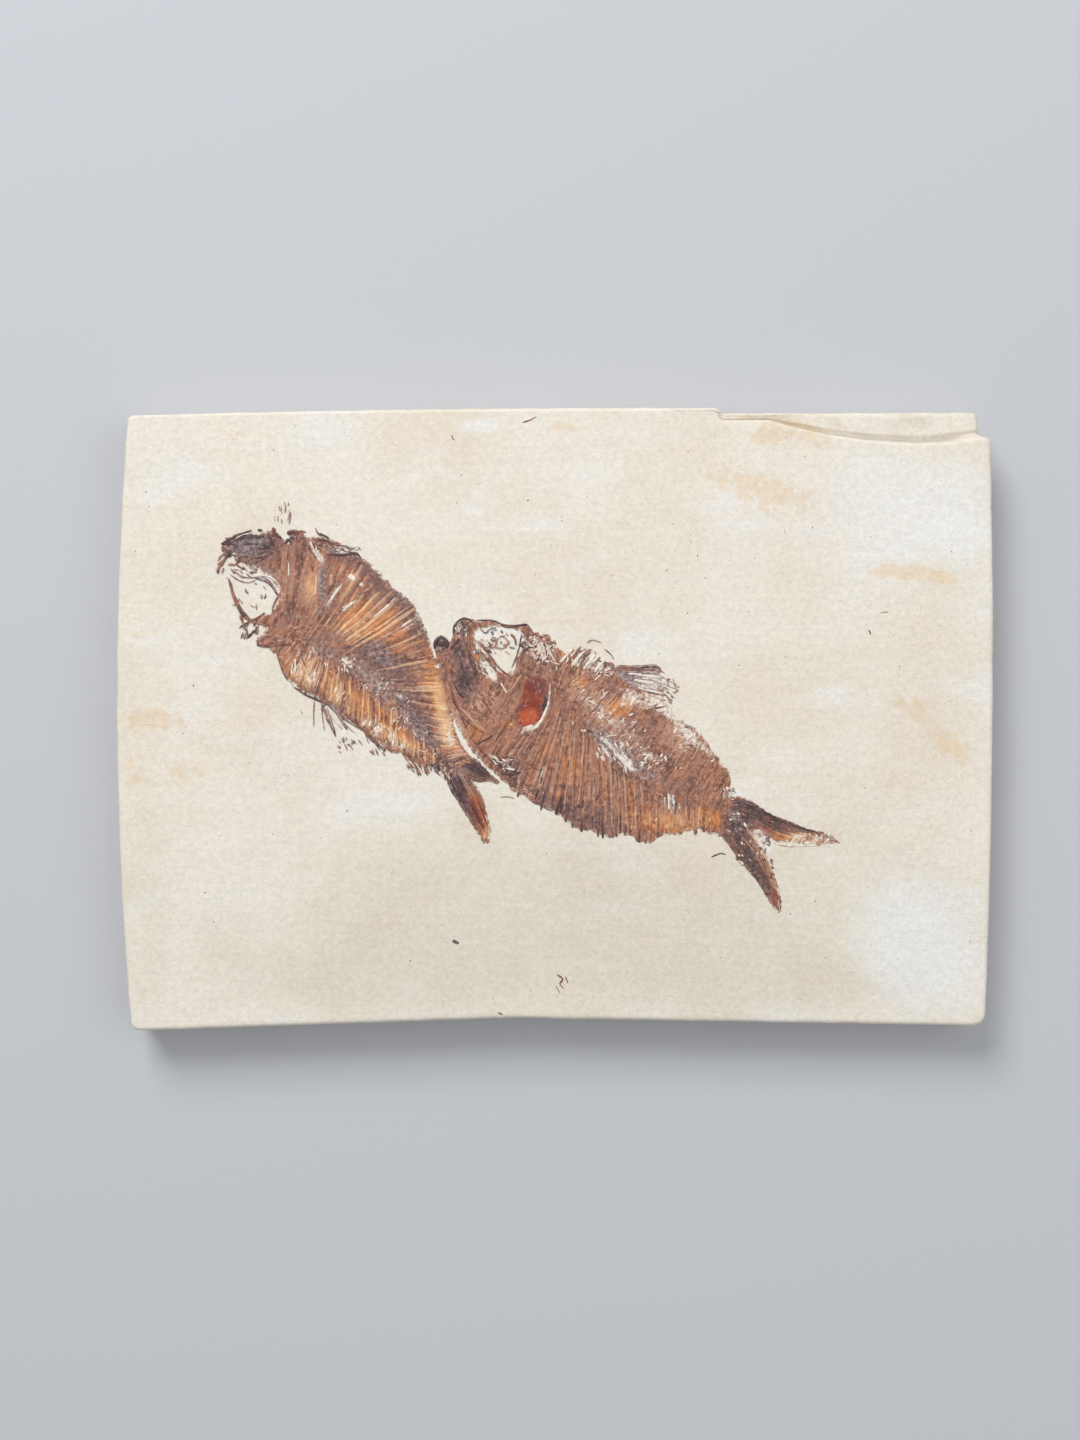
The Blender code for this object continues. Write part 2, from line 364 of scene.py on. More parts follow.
def makeSlab(material):
    across, belowLip, aboveLip = slab["gridAcross"], slab["gridBelowLip"], slab["gridAboveLip"]
    rows = belowLip + aboveLip
    sides = slabOutline()
    middle, rim = slabGrid(across, belowLip, aboveLip, slab["arris"], sides)
    flatX, flatY = middle[..., 0].ravel(), middle[..., 1].ravel()
    height = stoneHeight(flatX, flatY).reshape(across + 1, rows + 1)
    overLip = middle[:, belowLip, 0] > slab["spallLip"][0][0]
    height[overLip, belowLip - 1] -= slab["lipRounding"][0]
    height[overLip, belowLip] -= slab["lipRounding"][1]
    for row in range(belowLip + 1, rows + 1):
        height[overLip, row] -= slab["spallDrop"] + (slab["spallGroove"] if row <= belowLip + 2 else 0.0)
    middle[overLip, belowLip + 1, 1] -= slab["spallUndercut"]

    shape = bmesh.new()
    columnTag = shape.verts.layers.int.new("column")
    rowTag = shape.verts.layers.int.new("row")
    bmesh.ops.create_grid(shape, x_segments=across, y_segments=rows, size=1.0)
    for vert in shape.verts:
        column, row = round((vert.co.x + 1) / 2 * across), round((vert.co.y + 1) / 2 * rows)
        vert[columnTag], vert[rowTag] = column, row
        vert.co = (*middle[column, row], height[column, row])

    edge = [item for item in shape.edges if item.is_boundary]
    for count, ring in enumerate(wallRings()):
        edge = [item for item in bmesh.ops.extrude_edge_only(shape, edges=edge)["geom"]
                if isinstance(item, bmesh.types.BMEdge)]
        for vert in {vert for item in edge for vert in item.verts}:
            key = vert[columnTag], vert[rowTag]
            vert.co = wallPlace(ring, count, *rim[key], height[key])

    # the underside: a coarser grid, joined to the foot of the walls
    underAcross, underRows = across // 2, rows // 2
    under, _ = slabGrid(underAcross, belowLip // 2, aboveLip // 2, slab["underInset"], sides)
    made = bmesh.ops.create_grid(shape, x_segments=underAcross, y_segments=underRows, size=1.0)["verts"]
    for vert in made:
        column, row = round((vert.co.x + 1) / 2 * underAcross), round((vert.co.y + 1) / 2 * underRows)
        x, y = under[column, row]
        vert.co = (x, y, underHeight(x, y))
    loose = [item for item in shape.edges if item.is_boundary]
    bmesh.ops.bridge_loops(shape, edges=loose)
    bmesh.ops.recalc_face_normals(shape, faces=shape.faces)
    inGroove = np.array([vert[rowTag] == belowLip + 1 for vert in shape.verts])
    shape.verts.layers.int.remove(rowTag)
    shape.verts.layers.int.remove(shape.verts.layers.int["column"])
    piece = finishPiece(shape, "slabStone", material)
    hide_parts("limestone_slab")
    x, y, z = meshPoints(piece.data).T
    paint(piece.data, "stains", [inPatches(x, y, slab[name]) for name in ("ochre", "chalk", "darkening")])
    worn = smoothStep(z, *[faceHeight - depth for depth in slab["wornBelowFace"]])
    # painted shade: the groove row under the lip is darkened, fading out towards both ends
    grooveShade = np.where(inGroove & (z > faceHeight - slab["grooveShadeDepth"]), 1.0, 0.0)
    grooveShade = grooveShade * smoothStep(x, *slab["grooveShadeLeft"]) * smoothStep(-x, *slab["grooveShadeRight"])
    paint(piece.data, "faceAndGrooveShade", [worn, grooveShade])


# The fish. A station is a line across the fish: x and y of a point on its back, on its backbone and
# on its belly, in mm. Stations run from the snout to the root of the tail and follow the ribs.
# Openings are x, y, two radii and turn in degrees; the rise of a plate or the strength of a tone follows.

leftFish = {
    "name": "left",
    "stations": (
        (-58.9, 26, -58.5, 27.4, -58, 29.8), (-57.3, 24.8, -56.5, 27.6, -56.2, 31),
        (-56.5, 23.2, -54.2, 26.6, -53.8, 32), (-55.4, 20.4, -51.8, 25.2, -51.2, 32.3),
        (-54.6, 18.2, -49.8, 23.2, -48.8, 33.3), (-53.2, 15.8, -48.2, 20.6, -47, 31.4),
        (-51.8, 13.4, -46.9, 18, -45.2, 32.9), (-49.6, 12.2, -45.8, 15.6, -41, 31.9),
        (-48.2, 10.4, -44.3, 14.2, -36.8, 30.4), (-46.7, 6.9, -42.4, 13.6, -33.2, 28.2),
        (-44.4, 5, -41, 13, -30.4, 25.8), (-42.6, 4.1, -39.9, 12.4, -28, 23),
        (-40.8, 3.2, -38.9, 11.8, -26, 21.5), (-38.8, 1.8, -37.7, 11, -24.1, 19.3),
        (-36.8, 0.5, -36.2, 10, -22.7, 16.4), (-34.8, -0.8, -34.4, 8.8, -21.3, 12.8),
        (-32.8, -2.4, -32.3, 7.4, -20.2, 9.4), (-30.8, -4.2, -30.2, 6.1, -19, 6.5),
        (-28.8, -5.5, -28.2, 4.7, -18.2, 4), (-26.6, -6.3, -26.4, 3, -17.7, 1.6),
        (-24.8, -7.6, -24.9, 1, -17.6, -0.6), (-23.2, -8.3, -23.4, -1, -17, -2.4),
        (-21.8, -8.4, -22, -3, -16.4, -4), (-20.6, -8.2, -20.6, -5.2, -15.6, -5.2),
        (-19.4, -9.5, -18.9, -7.4, -14.8, -6.2), (-18.5, -11, -17.2, -8.8, -13.8, -7.2),
    ),
    "bend": 0.04, "columns": 250, "rows": 92, "seed": 11, "lengthMm": 55,
    "openings": (
        (-53.2, 21.6, 5.3, 4.1, 0), (-54.9, 25.7, 4.2, 1.5, -12), (-56.4, 27.6, 1.4, 1, 0),
        (-53.2, 15.4, 2.7, 1.6, 0), (-46.5, 31.3, 0.5, 0.6, 0), (-41.4, 29, 1.3, 0.34, -62),
        (-37.4, 29.5, 1.5, 0.35, -8), (-38.2, 21.7, 1.1, 0.25, 55), (-35.7, 20, 1, 0.22, 40),
        (-29.1, 19.8, 0.9, 0.2, 45), (-25.4, 16.6, 0.9, 0.2, 35), (-36.3, 10.2, 0.5, 0.4, 0),
        (-42.6, 8.6, 0.25, 1.4, -5), (-41.2, 8, 0.2, 1.2, -5), (-44.4, 9.4, 0.22, 1.3, -5),
        (-37.4, 4.8, 0.22, 1.2, 10), (-36.8, 4.6, 0.18, 1.1, 10), (-31.2, -1.2, 0.3, 1.3, 12),
        (-29.6, -2.3, 0.25, 1.2, 12), (-28, -3.4, 0.4, 1, 12), (-26.2, -5, 0.7, 0.35, -30),
        (-18.2, -3.2, 0.4, 0.5, 0),
    ),
    "plates": (
        (-45.6, 22.6, 7.8, 3.2, 80, 0.07), (-53.4, 30.2, 4, 1.3, 8, 0.08), (-48, 16, 2.6, 1.6, 20, 0.05),
    ),
    "rust": (
        (-32.5, 16, 7, 4.6, -42, 0.4), (-34, 3.6, 11, 3, -37, 0.4), (-35, 17.6, 3.4, 2.2, 50, 1),
        (-31.2, 15.6, 3.6, 1.7, 38, 0.8), (-26.8, 14.6, 2.6, 1.1, 33, 0.6),
        (-20.6, 5.5, 1.7, 6.5, 12, 0.95), (-42.4, 23, 1.6, 3.6, 0, 0.6), (-32.8, 2.4, 4.2, 1.8, -38, 0.75),
        (-27.5, -2.5, 4.2, 1.5, -38, 0.95), (-22.5, -5.5, 2.5, 1.3, -40, 0.7),
        (-44.6, 8.8, 3.2, 2.8, -30, 0.6), (-38.5, 5.5, 3.8, 2, -35, 0.55),
        (-35.8, 25.4, 2.4, 1.8, -35, 0.35), (-18.4, -2.2, 1.3, 3.4, 15, 0.95),
    ),
    "light": (
        (-42.4, 22.6, 1.8, 4, 0, 0.6), (-34, 17, 5, 2.8, 40, 0.3), (-43, 8.6, 4.6, 3, -25, 0.45),
        (-37.6, 4.4, 2.6, 1.9, -30, 0.5), (-34, 2.4, 3.4, 2.2, -40, 0.2), (-31.6, -1.4, 3.6, 1.6, -35, 0.5),
        (-26.6, -4.4, 3.4, 1.2, -30, 0.6), (-20.2, 5, 1.3, 3.4, 14, 0.6), (-19.4, 1.6, 1.2, 2.6, 14, 0.8),
        (-18.8, -2.6, 1.4, 2.8, 18, 1), (-46.4, 24, 1.6, 4.4, 0, 0.4), (-35.2, 24.6, 1.2, 1, 0, 0.9),
    ),
    "ash": (
        (-31.4, 6.2, 9, 2.4, -45, 0.55), (-23.4, -2.2, 5, 2, -55, 0.5), (-53.4, 28.6, 4, 0.9, 0, 0.5),
        (-53.4, 30.4, 4.6, 1.8, 8, 0.55), (-37, 29.4, 2.6, 0.8, -10, 0.6), (-40.6, 24, 0.9, 4.4, 0, 0.6),
        (-40.4, 12, 3.6, 2, -30, 0.4), (-30, 11.2, 5.4, 2.2, -38, 0.45), (-45, 24, 2.6, 6, 0, 0.2),
        (-53.4, 15.6, 2, 1.6, 0, 0.8), (-50, 25.6, 2.6, 0.9, -30, 0.5),
    ),
    "plum": (
        (-53.4, 30.4, 5.6, 2.6, 8, 1), (-46.5, 32, 2.4, 1.8, 0, 0.85), (-50, 29.4, 3, 2.2, 0, 0.8),
        (-40.6, 31.3, 3, 1.4, -20, 0.6), (-31.6, 11.4, 6, 2.4, -33, 0.7), (-25.8, 5, 4.4, 2.2, -55, 0.55),
        (-22.5, -1.6, 4, 1.9, -58, 0.6), (-20, -7.6, 3, 2.2, -50, 0.8), (-26.4, 20.4, 3.8, 2.6, -50, 0.85),
        (-23.6, 15.6, 1.8, 4, 22, 0.7), (-38.8, 19, 2.4, 5, 25, 0.4), (-32, 25, 5.4, 1.8, -48, 0.75),
        (-36.8, 28.4, 3.2, 1.4, -15, 0.75), (-29, 10, 8.5, 3.4, -42, 0.6), (-45, 19, 3.2, 2.2, 30, 0.35),
        (-24.4, 2, 6.5, 2.6, -60, 0.6), (-36, 8, 5, 1.6, -35, 0.4), (-40.6, 2.9, 7, 0.7, -35, 0.7),
        (-31, -4.4, 4.5, 0.6, -38, 0.6),
    ),
    "pale": (
        (-36.3, 10, 1.6, 1, -30, 0.6), (-31, 6.6, 5.5, 1, -38, 0.3), (-26.8, 4.2, 0.9, 0.7, 0, 0.6),
        (-42.6, 8, 3, 1.8, -30, 0.3), (-37.2, 4.2, 2.2, 1.2, -30, 0.3), (-28.8, -2.6, 4.6, 1.1, -35, 0.36),
        (-18.2, -3.2, 0.9, 2, 15, 0.6),
    ),
    "blush": (
        (-44.8, 31.7, 2, 1.4, 0, 0.5), (-48.9, 32.4, 1.1, 1.3, 0, 0.5), (-44.4, 19, 1.4, 1, 0, 0.5),
        (-40.8, 31, 1.4, 0.7, 0, 0.6),
    ),
}

rightFish = {
    "name": "right",
    "stations": (
        (-20.9, 13.7, -21, 12.8, -20.8, 11.8), (-19.7, 14.6, -19.3, 12, -20.4, 9.4),
        (-18.3, 13.7, -17.8, 11.2, -19.8, 6.6), (-17.3, 16, -16.2, 10.2, -19.2, 4.2),
        (-15.6, 17.6, -14.4, 9.2, -18.3, 1.9), (-13.2, 17.2, -12.6, 8.4, -17.3, -0.5),
        (-10.6, 17.1, -10.8, 7.8, -16.2, -2.6), (-7.8, 16.4, -8.8, 7.2, -15.2, -4.4),
        (-5, 16.6, -6.6, 6.6, -13.9, -6.2), (-3, 14.6, -4.2, 6, -12.4, -7.8),
        (-1, 14, -2, 5.6, -10.8, -9.1), (0.4, 12.5, -0.2, 5, -9.4, -10.4),
        (2.2, 11.4, 0.7, 4.4, -7.5, -12.1), (4.2, 11, 1.4, 3.7, -5, -13.8),
        (6.4, 10.6, 2.1, 2.9, -2.4, -15.2), (8.4, 10.2, 2.9, 2, 0, -16.4), (10.2, 9.2, 3.9, 0.9, 2, -17.8),
        (11.6, 7.7, 5, -0.4, 3.9, -19.1), (13.2, 6.4, 6.3, -1.9, 5.9, -19.3),
        (15, 5.3, 7.7, -3.4, 7.7, -19.9), (16.8, 4.3, 9.2, -4.9, 9.5, -20.5),
        (18.4, 3.5, 10.8, -6.2, 11.3, -20.2), (19.8, 2.4, 12.6, -7.4, 13.2, -20.2),
        (21, 0.6, 14.5, -8.6, 15, -21.4), (22.6, -0.5, 16.5, -9.7, 16.6, -21.4),
        (24.4, -1.6, 18.6, -10.8, 18.4, -20.3), (25.9, -3.2, 20.8, -11.9, 20.4, -20.1),
        (27.2, -5.1, 22.8, -13, 22.6, -19.9), (28.6, -6.9, 24.8, -14.1, 24.6, -19.2),
        (30, -8.6, 26.7, -15.2, 26.4, -19.8), (30.6, -10.4, 28.4, -16.2, 28.2, -20.2),
        (30, -12.4, 29.9, -17, 29.4, -21), (30.8, -14.2, 31.6, -17.9, 30.6, -22.4),
    ),
    "bend": 0.03, "columns": 290, "rows": 104, "seed": 23, "lengthMm": 66,
    "openings": (
        (-9.6, 13.5, 4.2, 2.7, 0), (-8.6, 10.6, 1.9, 2.5, 15), (-12.4, 14.4, 1.6, 1.6, 0),
        (19.9, -14.2, 1.1, 1.2, 0), (20.9, -15, 0.6, 0.5, 30), (-11.6, 8.6, 1.8, 0.5, -52),
        (-16.2, 15.6, 0.5, 0.8, 0), (-4.7, -1.8, 0.8, 0.3, 20), (31.2, -13.3, 2, 1.1, -25),
        (-10.2, -7, 0.8, 0.22, -30), (-7.8, -8.6, 0.9, 0.2, -15), (12.4, -7.9, 0.28, 1, -10),
        (9.9, -5.9, 0.25, 0.9, -10), (8.8, -4.6, 0.5, 0.3, -35), (31.3, -17, 0.4, 0.5, 0),
        (-1.5, -10, 0.16, 0.7, 0), (-2.3, -9.5, 0.16, 0.6, 0), (17.6, 3, 0.3, 0.9, 0),
        (5.4, 10.9, 0.9, 0.3, 40), (7.6, 10, 0.8, 0.25, 45), (3, 12, 0.6, 0.3, 40),
    ),
    "plates": (
        (-3.9, 3, 4.6, 2.4, 75, 0.08), (-15.6, 6.8, 4.2, 1.9, 105, 0.08), (-9.6, 0.6, 4.2, 2.2, 45, 0.05),
    ),
    "rust": (
        (20, -17.2, 9, 2.6, -4, 0.5), (3, -8.6, 2, 3.6, 8, 0.6), (10.8, 1.8, 2.8, 2, 20, 1),
        (26.8, -17, 2.8, 1.8, -30, 0.9), (18.5, -18.2, 4.6, 1.7, -5, 0.75), (4.2, 6.6, 2, 1.3, 0, 0.75),
        (-13.6, -2.6, 2, 2.4, 40, 0.6), (-8.3, -0.8, 1.4, 0.9, 0, 0.6), (2, 11, 1.8, 1.1, 0, 0.6),
        (-1, -5, 2.2, 1.7, 0, 0.5),
    ),
    "light": (
        (-12, 2, 4, 4, -40, 0.3), (-4.6, 0.5, 2, 1.7, 20, 1), (6, 3.6, 6, 3, -35, 0.5),
        (11, -2.4, 6, 2.4, -40, 0.45), (12.8, 3.2, 1.6, 1.4, 40, 0.9), (21.6, -3.4, 4.2, 2.8, -42, 0.55),
        (-2.4, 11.4, 3, 3, 0, 0.3), (-16.6, -1, 0.9, 5, 25, 0.6), (21, -17, 7, 2.4, -5, 0.4),
    ),
    "ash": (
        (9.5, -4.6, 7, 1.8, -42, 0.7), (16.4, -9.4, 4, 1.6, -34, 0.4), (13, -6, 5, 2.6, -38, 0.35),
        (6, 10.2, 4, 1.3, -15, 0.7), (-3.4, 12.4, 2.6, 2, -30, 0.35), (-16.2, 15.6, 1.4, 1.6, 0, 0.7),
        (21.4, 0.8, 3.6, 1.2, -42, 0.4), (-9.2, -7.6, 2.4, 1, -20, 0.5), (31.4, -17, 1.6, 1.6, 0, 0.5),
    ),
    "plum": (
        (-15.6, 6.8, 2.4, 4, -10, 1), (-16.8, 11.6, 1.8, 2.8, 0, 0.95), (-19.7, 13.2, 1.5, 1.5, 0, 1),
        (4.4, -16.6, 8, 2.6, -12, 0.6), (-5.6, 12.6, 1.6, 3.4, -15, 0.6), (-1.6, 9.4, 2.6, 1.8, 0, 0.4),
        (-8, -8, 2.4, 1.4, -20, 0.75), (-2.6, 6, 2, 1, -20, 0.5), (-1.8, 2.8, 0.7, 2.8, -10, 0.8),
        (12, -9.4, 5.5, 1.8, -32, 0.4), (20, -14, 6.5, 2.8, -28, 0.3), (-7, -10, 2.8, 1.2, -30, 0.55),
        (-2, -14, 3.4, 1.6, -25, 0.5), (31, -18.6, 2.4, 3, -30, 0.9),
    ),
    "pale": (
        (-11.6, 8.8, 2.6, 1, -52, 0.9), (9, -4.4, 3, 1, -45, 0.6), (12.4, -7.4, 2.6, 1, -45, 0.8),
        (16.5, -6.6, 3.4, 1.4, -35, 0.5), (23, -2.6, 3.6, 1.6, -48, 0.6), (18.4, 2.2, 5, 1.3, -40, 0.65),
        (7, 2, 5, 1.4, -45, 0.45), (14, 3.6, 4, 1.4, -35, 0.55), (12, -1.6, 5, 1.6, -42, 0.35),
        (26.4, -5.4, 2.6, 0.9, -50, 0.45), (-10, -7.4, 1.6, 0.6, -25, 0.8), (-2.4, 12, 3.2, 2.6, -40, 0.6),
        (6.6, 9.4, 4, 1.5, -15, 0.6), (-6.2, 13, 1.2, 2.6, -10, 0.5),
    ),
    "blush": (
        (-3.7, 2.8, 2.7, 4.6, -12, 1), (-3.5, 5.6, 2.4, 1.8, 0, 1), (-4.6, 0.6, 2.4, 2, 20, 1),
        (-9, -6.6, 2, 0.8, -15, 0.5), (1.5, -10, 2.4, 3, 0, 0.3),
    ),
}


bodyTable = {"steps": 600, "ahead": 8}        # lines across a fish, and how many to look ahead and behind


def bodyPoints(fish, along, across):
    # places in the fish's own measure: along from snout 0 to tail 1, across from back -1 to belly 1
    if "table" not in fish:
        fish["table"] = spline(np.reshape(fish["stations"], (-1, 3, 2)), bodyTable["steps"])
    table = fish["table"]
    at = np.clip(np.asarray(along, float), 0, 1) * (len(table) - 1)
    across = np.asarray(across, float)
    start = np.minimum(at.astype(int), len(table) - 2)
    share = (at - start).reshape(-1, 1, 1)
    back, spine, belly = np.moveaxis(table[start] * (1 - share) + table[start + 1] * share, 1, 0)
    front = np.minimum(start + bodyTable["ahead"], len(table) - 1)
    rear = np.maximum(start - bodyTable["ahead"], 0)
    ahead = table[front, 1] - table[rear, 1]
    ahead /= np.linalg.norm(ahead, axis=1).reshape(-1, 1) + 1e-9
    edge = np.where((across < 0).reshape(-1, 1), back, belly)
    width = np.linalg.norm(edge - spine, axis=1)
    out = np.abs(across).reshape(-1, 1)
    middle = (spine + edge) / 2 + ahead * (fish["bend"] * width).reshape(-1, 1)
    return spine * (1 - out) ** 2 + middle * 2 * out * (1 - out) + edge * out ** 2, width


skin = {
    "thickness": 0.15,
    "dip": 0.3,
    "ragged": 1.0,
    "lobeRagged": 1.25,
    "soft": 0.75,
    "shell": 0.3,
    "relief": 0.045,
    "reliefNoise": (0.9, 0.22, 9),        # bumps to the mm along and across, and what is added to the seed
    "rag": ((0.35, 0.5, 0), (0.3, 1.7, 3), (0.45, 3.2, 7)),        # strength, bumps to the mm, added seed
    "ragStripes": (0.6, 1.5, 0.25, 5),        # the same along the ribs, with bumps along and across
    "openingSlope": 1.2, "openingRag": (0.35, 0.2, 0.9),        # for its size, at least, at most
    "plateEdge": (0.22, 0.34),
    "hidden": -0.1,        # faces all of whose points lie lower than this go
    "acrossMm": 10,        # the half width that the stripes are drawn for
}


def skinLift(x, y, gap, measure, openings, seed, ragged):
    # how far the skin stands above the stone: it dips under it at its ragged edges and openings
    rag = sum(strength * roughness(x, y, scale, seed + added) for strength, scale, added in skin["rag"])
    strength, alongScale, acrossScale, added = skin["ragStripes"]
    rag += strength * roughness(measure[:, 0] * alongScale, measure[:, 1] * acrossScale, 1.0, seed + added)
    inside = gap + ragged * rag
    share, least, most = skin["openingRag"]
    for openX, openY, long, short, turn in openings:
        cos, sin = math.cos(math.radians(turn)), math.sin(math.radians(turn))
        reach = np.hypot(((x - openX) * cos + (y - openY) * sin) / long,
                         ((y - openY) * cos - (x - openX) * sin) / short)
        small = min(long, short)
        rough = min(most, share * small + least)
        inside = np.minimum(inside, (reach - 1) * small * skin["openingSlope"] + rough * rag)
    share = np.clip(inside / skin["soft"], -1, 1)
    return np.where(share > 0, skin["thickness"] * np.sqrt(np.maximum(share, 0)), skin["dip"] * share)


def finishSkin(shape, lift, name, fish, measure, fishMaterial):
    # takes away what lies well under the stone, paints the rest and gives it a thickness
    tag = shape.verts.layers.int.new("order")
    for index, vert in enumerate(shape.verts):
        vert[tag] = index
    hidden = [face for face in shape.faces if all(lift[vert[tag]] < skin["hidden"] for vert in face.verts)]
    bmesh.ops.delete(shape, geom=hidden, context="FACES")
    shape.normal_update()
    bmesh.ops.reverse_faces(shape, faces=[face for face in shape.faces if face.normal.z < 0])
    order = np.array([vert[tag] for vert in shape.verts])
    shape.verts.layers.int.remove(tag)
    piece = finishPiece(shape, name, fishMaterial)
    points = meshPoints(piece.data)
    x, y = points[:, 0], points[:, 1]
    paintTones(piece.data, fish, x, y, np.zeros((len(x), len(toneNames))))
    thin = 1 - np.clip(lift[order] / skin["thickness"], 0, 1)
    layer = piece.data.attributes.new("bodyPlace", "FLOAT_VECTOR", "POINT")
    layer.data.foreach_set("vector", measure[order].ravel())
    paint(piece.data, "thin", [thin])
    shell = piece.modifiers.new("shell", "SOLIDIFY")
    shell.thickness = skin["shell"] * mm
    shell.offset = -1.0
    return piece


def paintTones(mesh, fish, x, y, own):
    # how much rust, plum, pale, blush, ash and light there is; own adds a bone's own tones
    tones = [inPatches(x, y, fish[name]) + own[:, index] for index, name in enumerate(toneNames)]
    paint(mesh, "tones", tones[:3])
    paint(mesh, "tints", tones[3:])


def makeSkin(fish, fishMaterial):
    columns, rows = fish["columns"], fish["rows"]
    shape = bmesh.new()
    bmesh.ops.create_grid(shape, x_segments=columns, y_segments=rows, size=1.0)
    grid = np.array([vert.co[:2] for vert in shape.verts])
    along, across = (grid[:, 0] + 1) / 2, grid[:, 1]
    places, width = bodyPoints(fish, along, across)
    x, y = places[:, 0], places[:, 1]
    gap = np.minimum((1 - np.abs(across)) * width, along * fish["lengthMm"])
    measure = np.stack([along * fish["lengthMm"], across * skin["acrossMm"], np.zeros(len(x))], axis=1)
    lift = skinLift(x, y, gap, measure, fish["openings"], fish["seed"], skin["ragged"])
    alongScale, acrossScale, added = skin["reliefNoise"]
    ripples = roughness(measure[:, 0] * alongScale, measure[:, 1] * acrossScale, 1.0, fish["seed"] + added)
    relief = skin["relief"] * ripples
    for *plate, rise in fish["plates"]:
        relief += rise * smoothStep(inPatches(x, y, ((*plate, 1.0),)), *skin["plateEdge"])
    relief *= np.clip(lift / skin["thickness"], 0, 1)
    for vert, spotX, spotY, level in zip(shape.verts, x, y, stoneHeight(x, y) + lift + relief):
        vert.co = (spotX, spotY, level)
    piece = finishSkin(shape, lift, fish["name"] + "Skin", fish, measure, fishMaterial)
    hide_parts(fish["name"] + "_fish")


# Bones. Every bone is a thin tapered bar, half sunk in the skin.

bone = {
    "corners": 6,
    "seat": 0.1,
    "splineSteps": 40,
    "taper": 5,
    "heightMost": 0.15, "heightShare": 0.8,        # how high it stands, at most and for its width
    # each noise is given as bumps to the mm and seed
    "wander": 0.16, "wanderNoise": ((0.45, 1.5), (0.45, 6.5)),        # how far it strays, in mm
    "sink": 0.09, "sinkNoise": (0.7, 3.5),        # how far it rises and sinks along its way
    "swell": 0.45, "swellNoise": (1.1, 9.5),        # how much its width varies
    "mottle": 0.8, "mottleNoise": (0.5, 12.5),        # how much its tone varies
    "toneStrength": 0.95, "toneLimits": (0.3, 1.25),
}
toneNames = ("rust", "plum", "pale", "blush", "ash", "light")
toneOf = {        # what each kind of bone adds to the tones of the place where it lies
    "plain": (0.0, 0.05, -0.1, 0.0, -0.1, 0.2),
    "dark": (-0.3, 0.4, -0.4, 0.0, -0.2, -0.4),
    "black": (-1.0, 1.0, -1.0, -0.5, -1.0, -1.0),
    "tan": (0.0, -0.2, 0.05, -0.15, -0.15, 0.55),
    "gold": (0.25, -0.4, 0.15, -0.3, -0.4, 0.9),
    "pale": (-0.5, -0.9, 0.9, -0.6, -0.5, 0.5),
    "grey": (-0.6, 0.1, -0.1, -0.4, 0.75, 0.0),
    "rust": (0.5, -0.3, -0.1, 0.0, -0.4, 0.1),
    "red": (0.0, 0.3, -0.6, 0.65, -0.4, 0.0),
}


def newBone(points, width, endWidth=None, height=None, tone="plain", shade=0.0, seat=0.0, blunt=0.35,
            rings=8):
    # width and height are half sizes in mm; shade shifts the bone between dark and pale
    share = np.linspace(0, 1, rings + 1)
    line = spline(points, bone["splineSteps"]) if len(points) > 2 else np.asarray(points, float)
    ends = np.minimum(1, np.minimum(share, 1 - share) * bone["taper"] + blunt)
    halfWidth = (width + ((width if endWidth is None else endWidth) - width) * share) * ends
    own = np.array(toneOf[tone]) + np.array([0.0, max(shade, 0), 0.0, 0.0, 0.0, max(-shade, 0)])
    height = height or min(bone["heightMost"], width * bone["heightShare"])
    return {"path": evenly(line, share), "width": halfWidth, "height": height * ends,
            "own": own, "seat": seat}


def boneRows(rows):
    # a row is a tone, the half width, the half width at the end, and x and y of every point
    for tone, width, endWidth, *flat in rows:
        yield np.reshape(flat, (-1, 2)), width, endWidth, tone


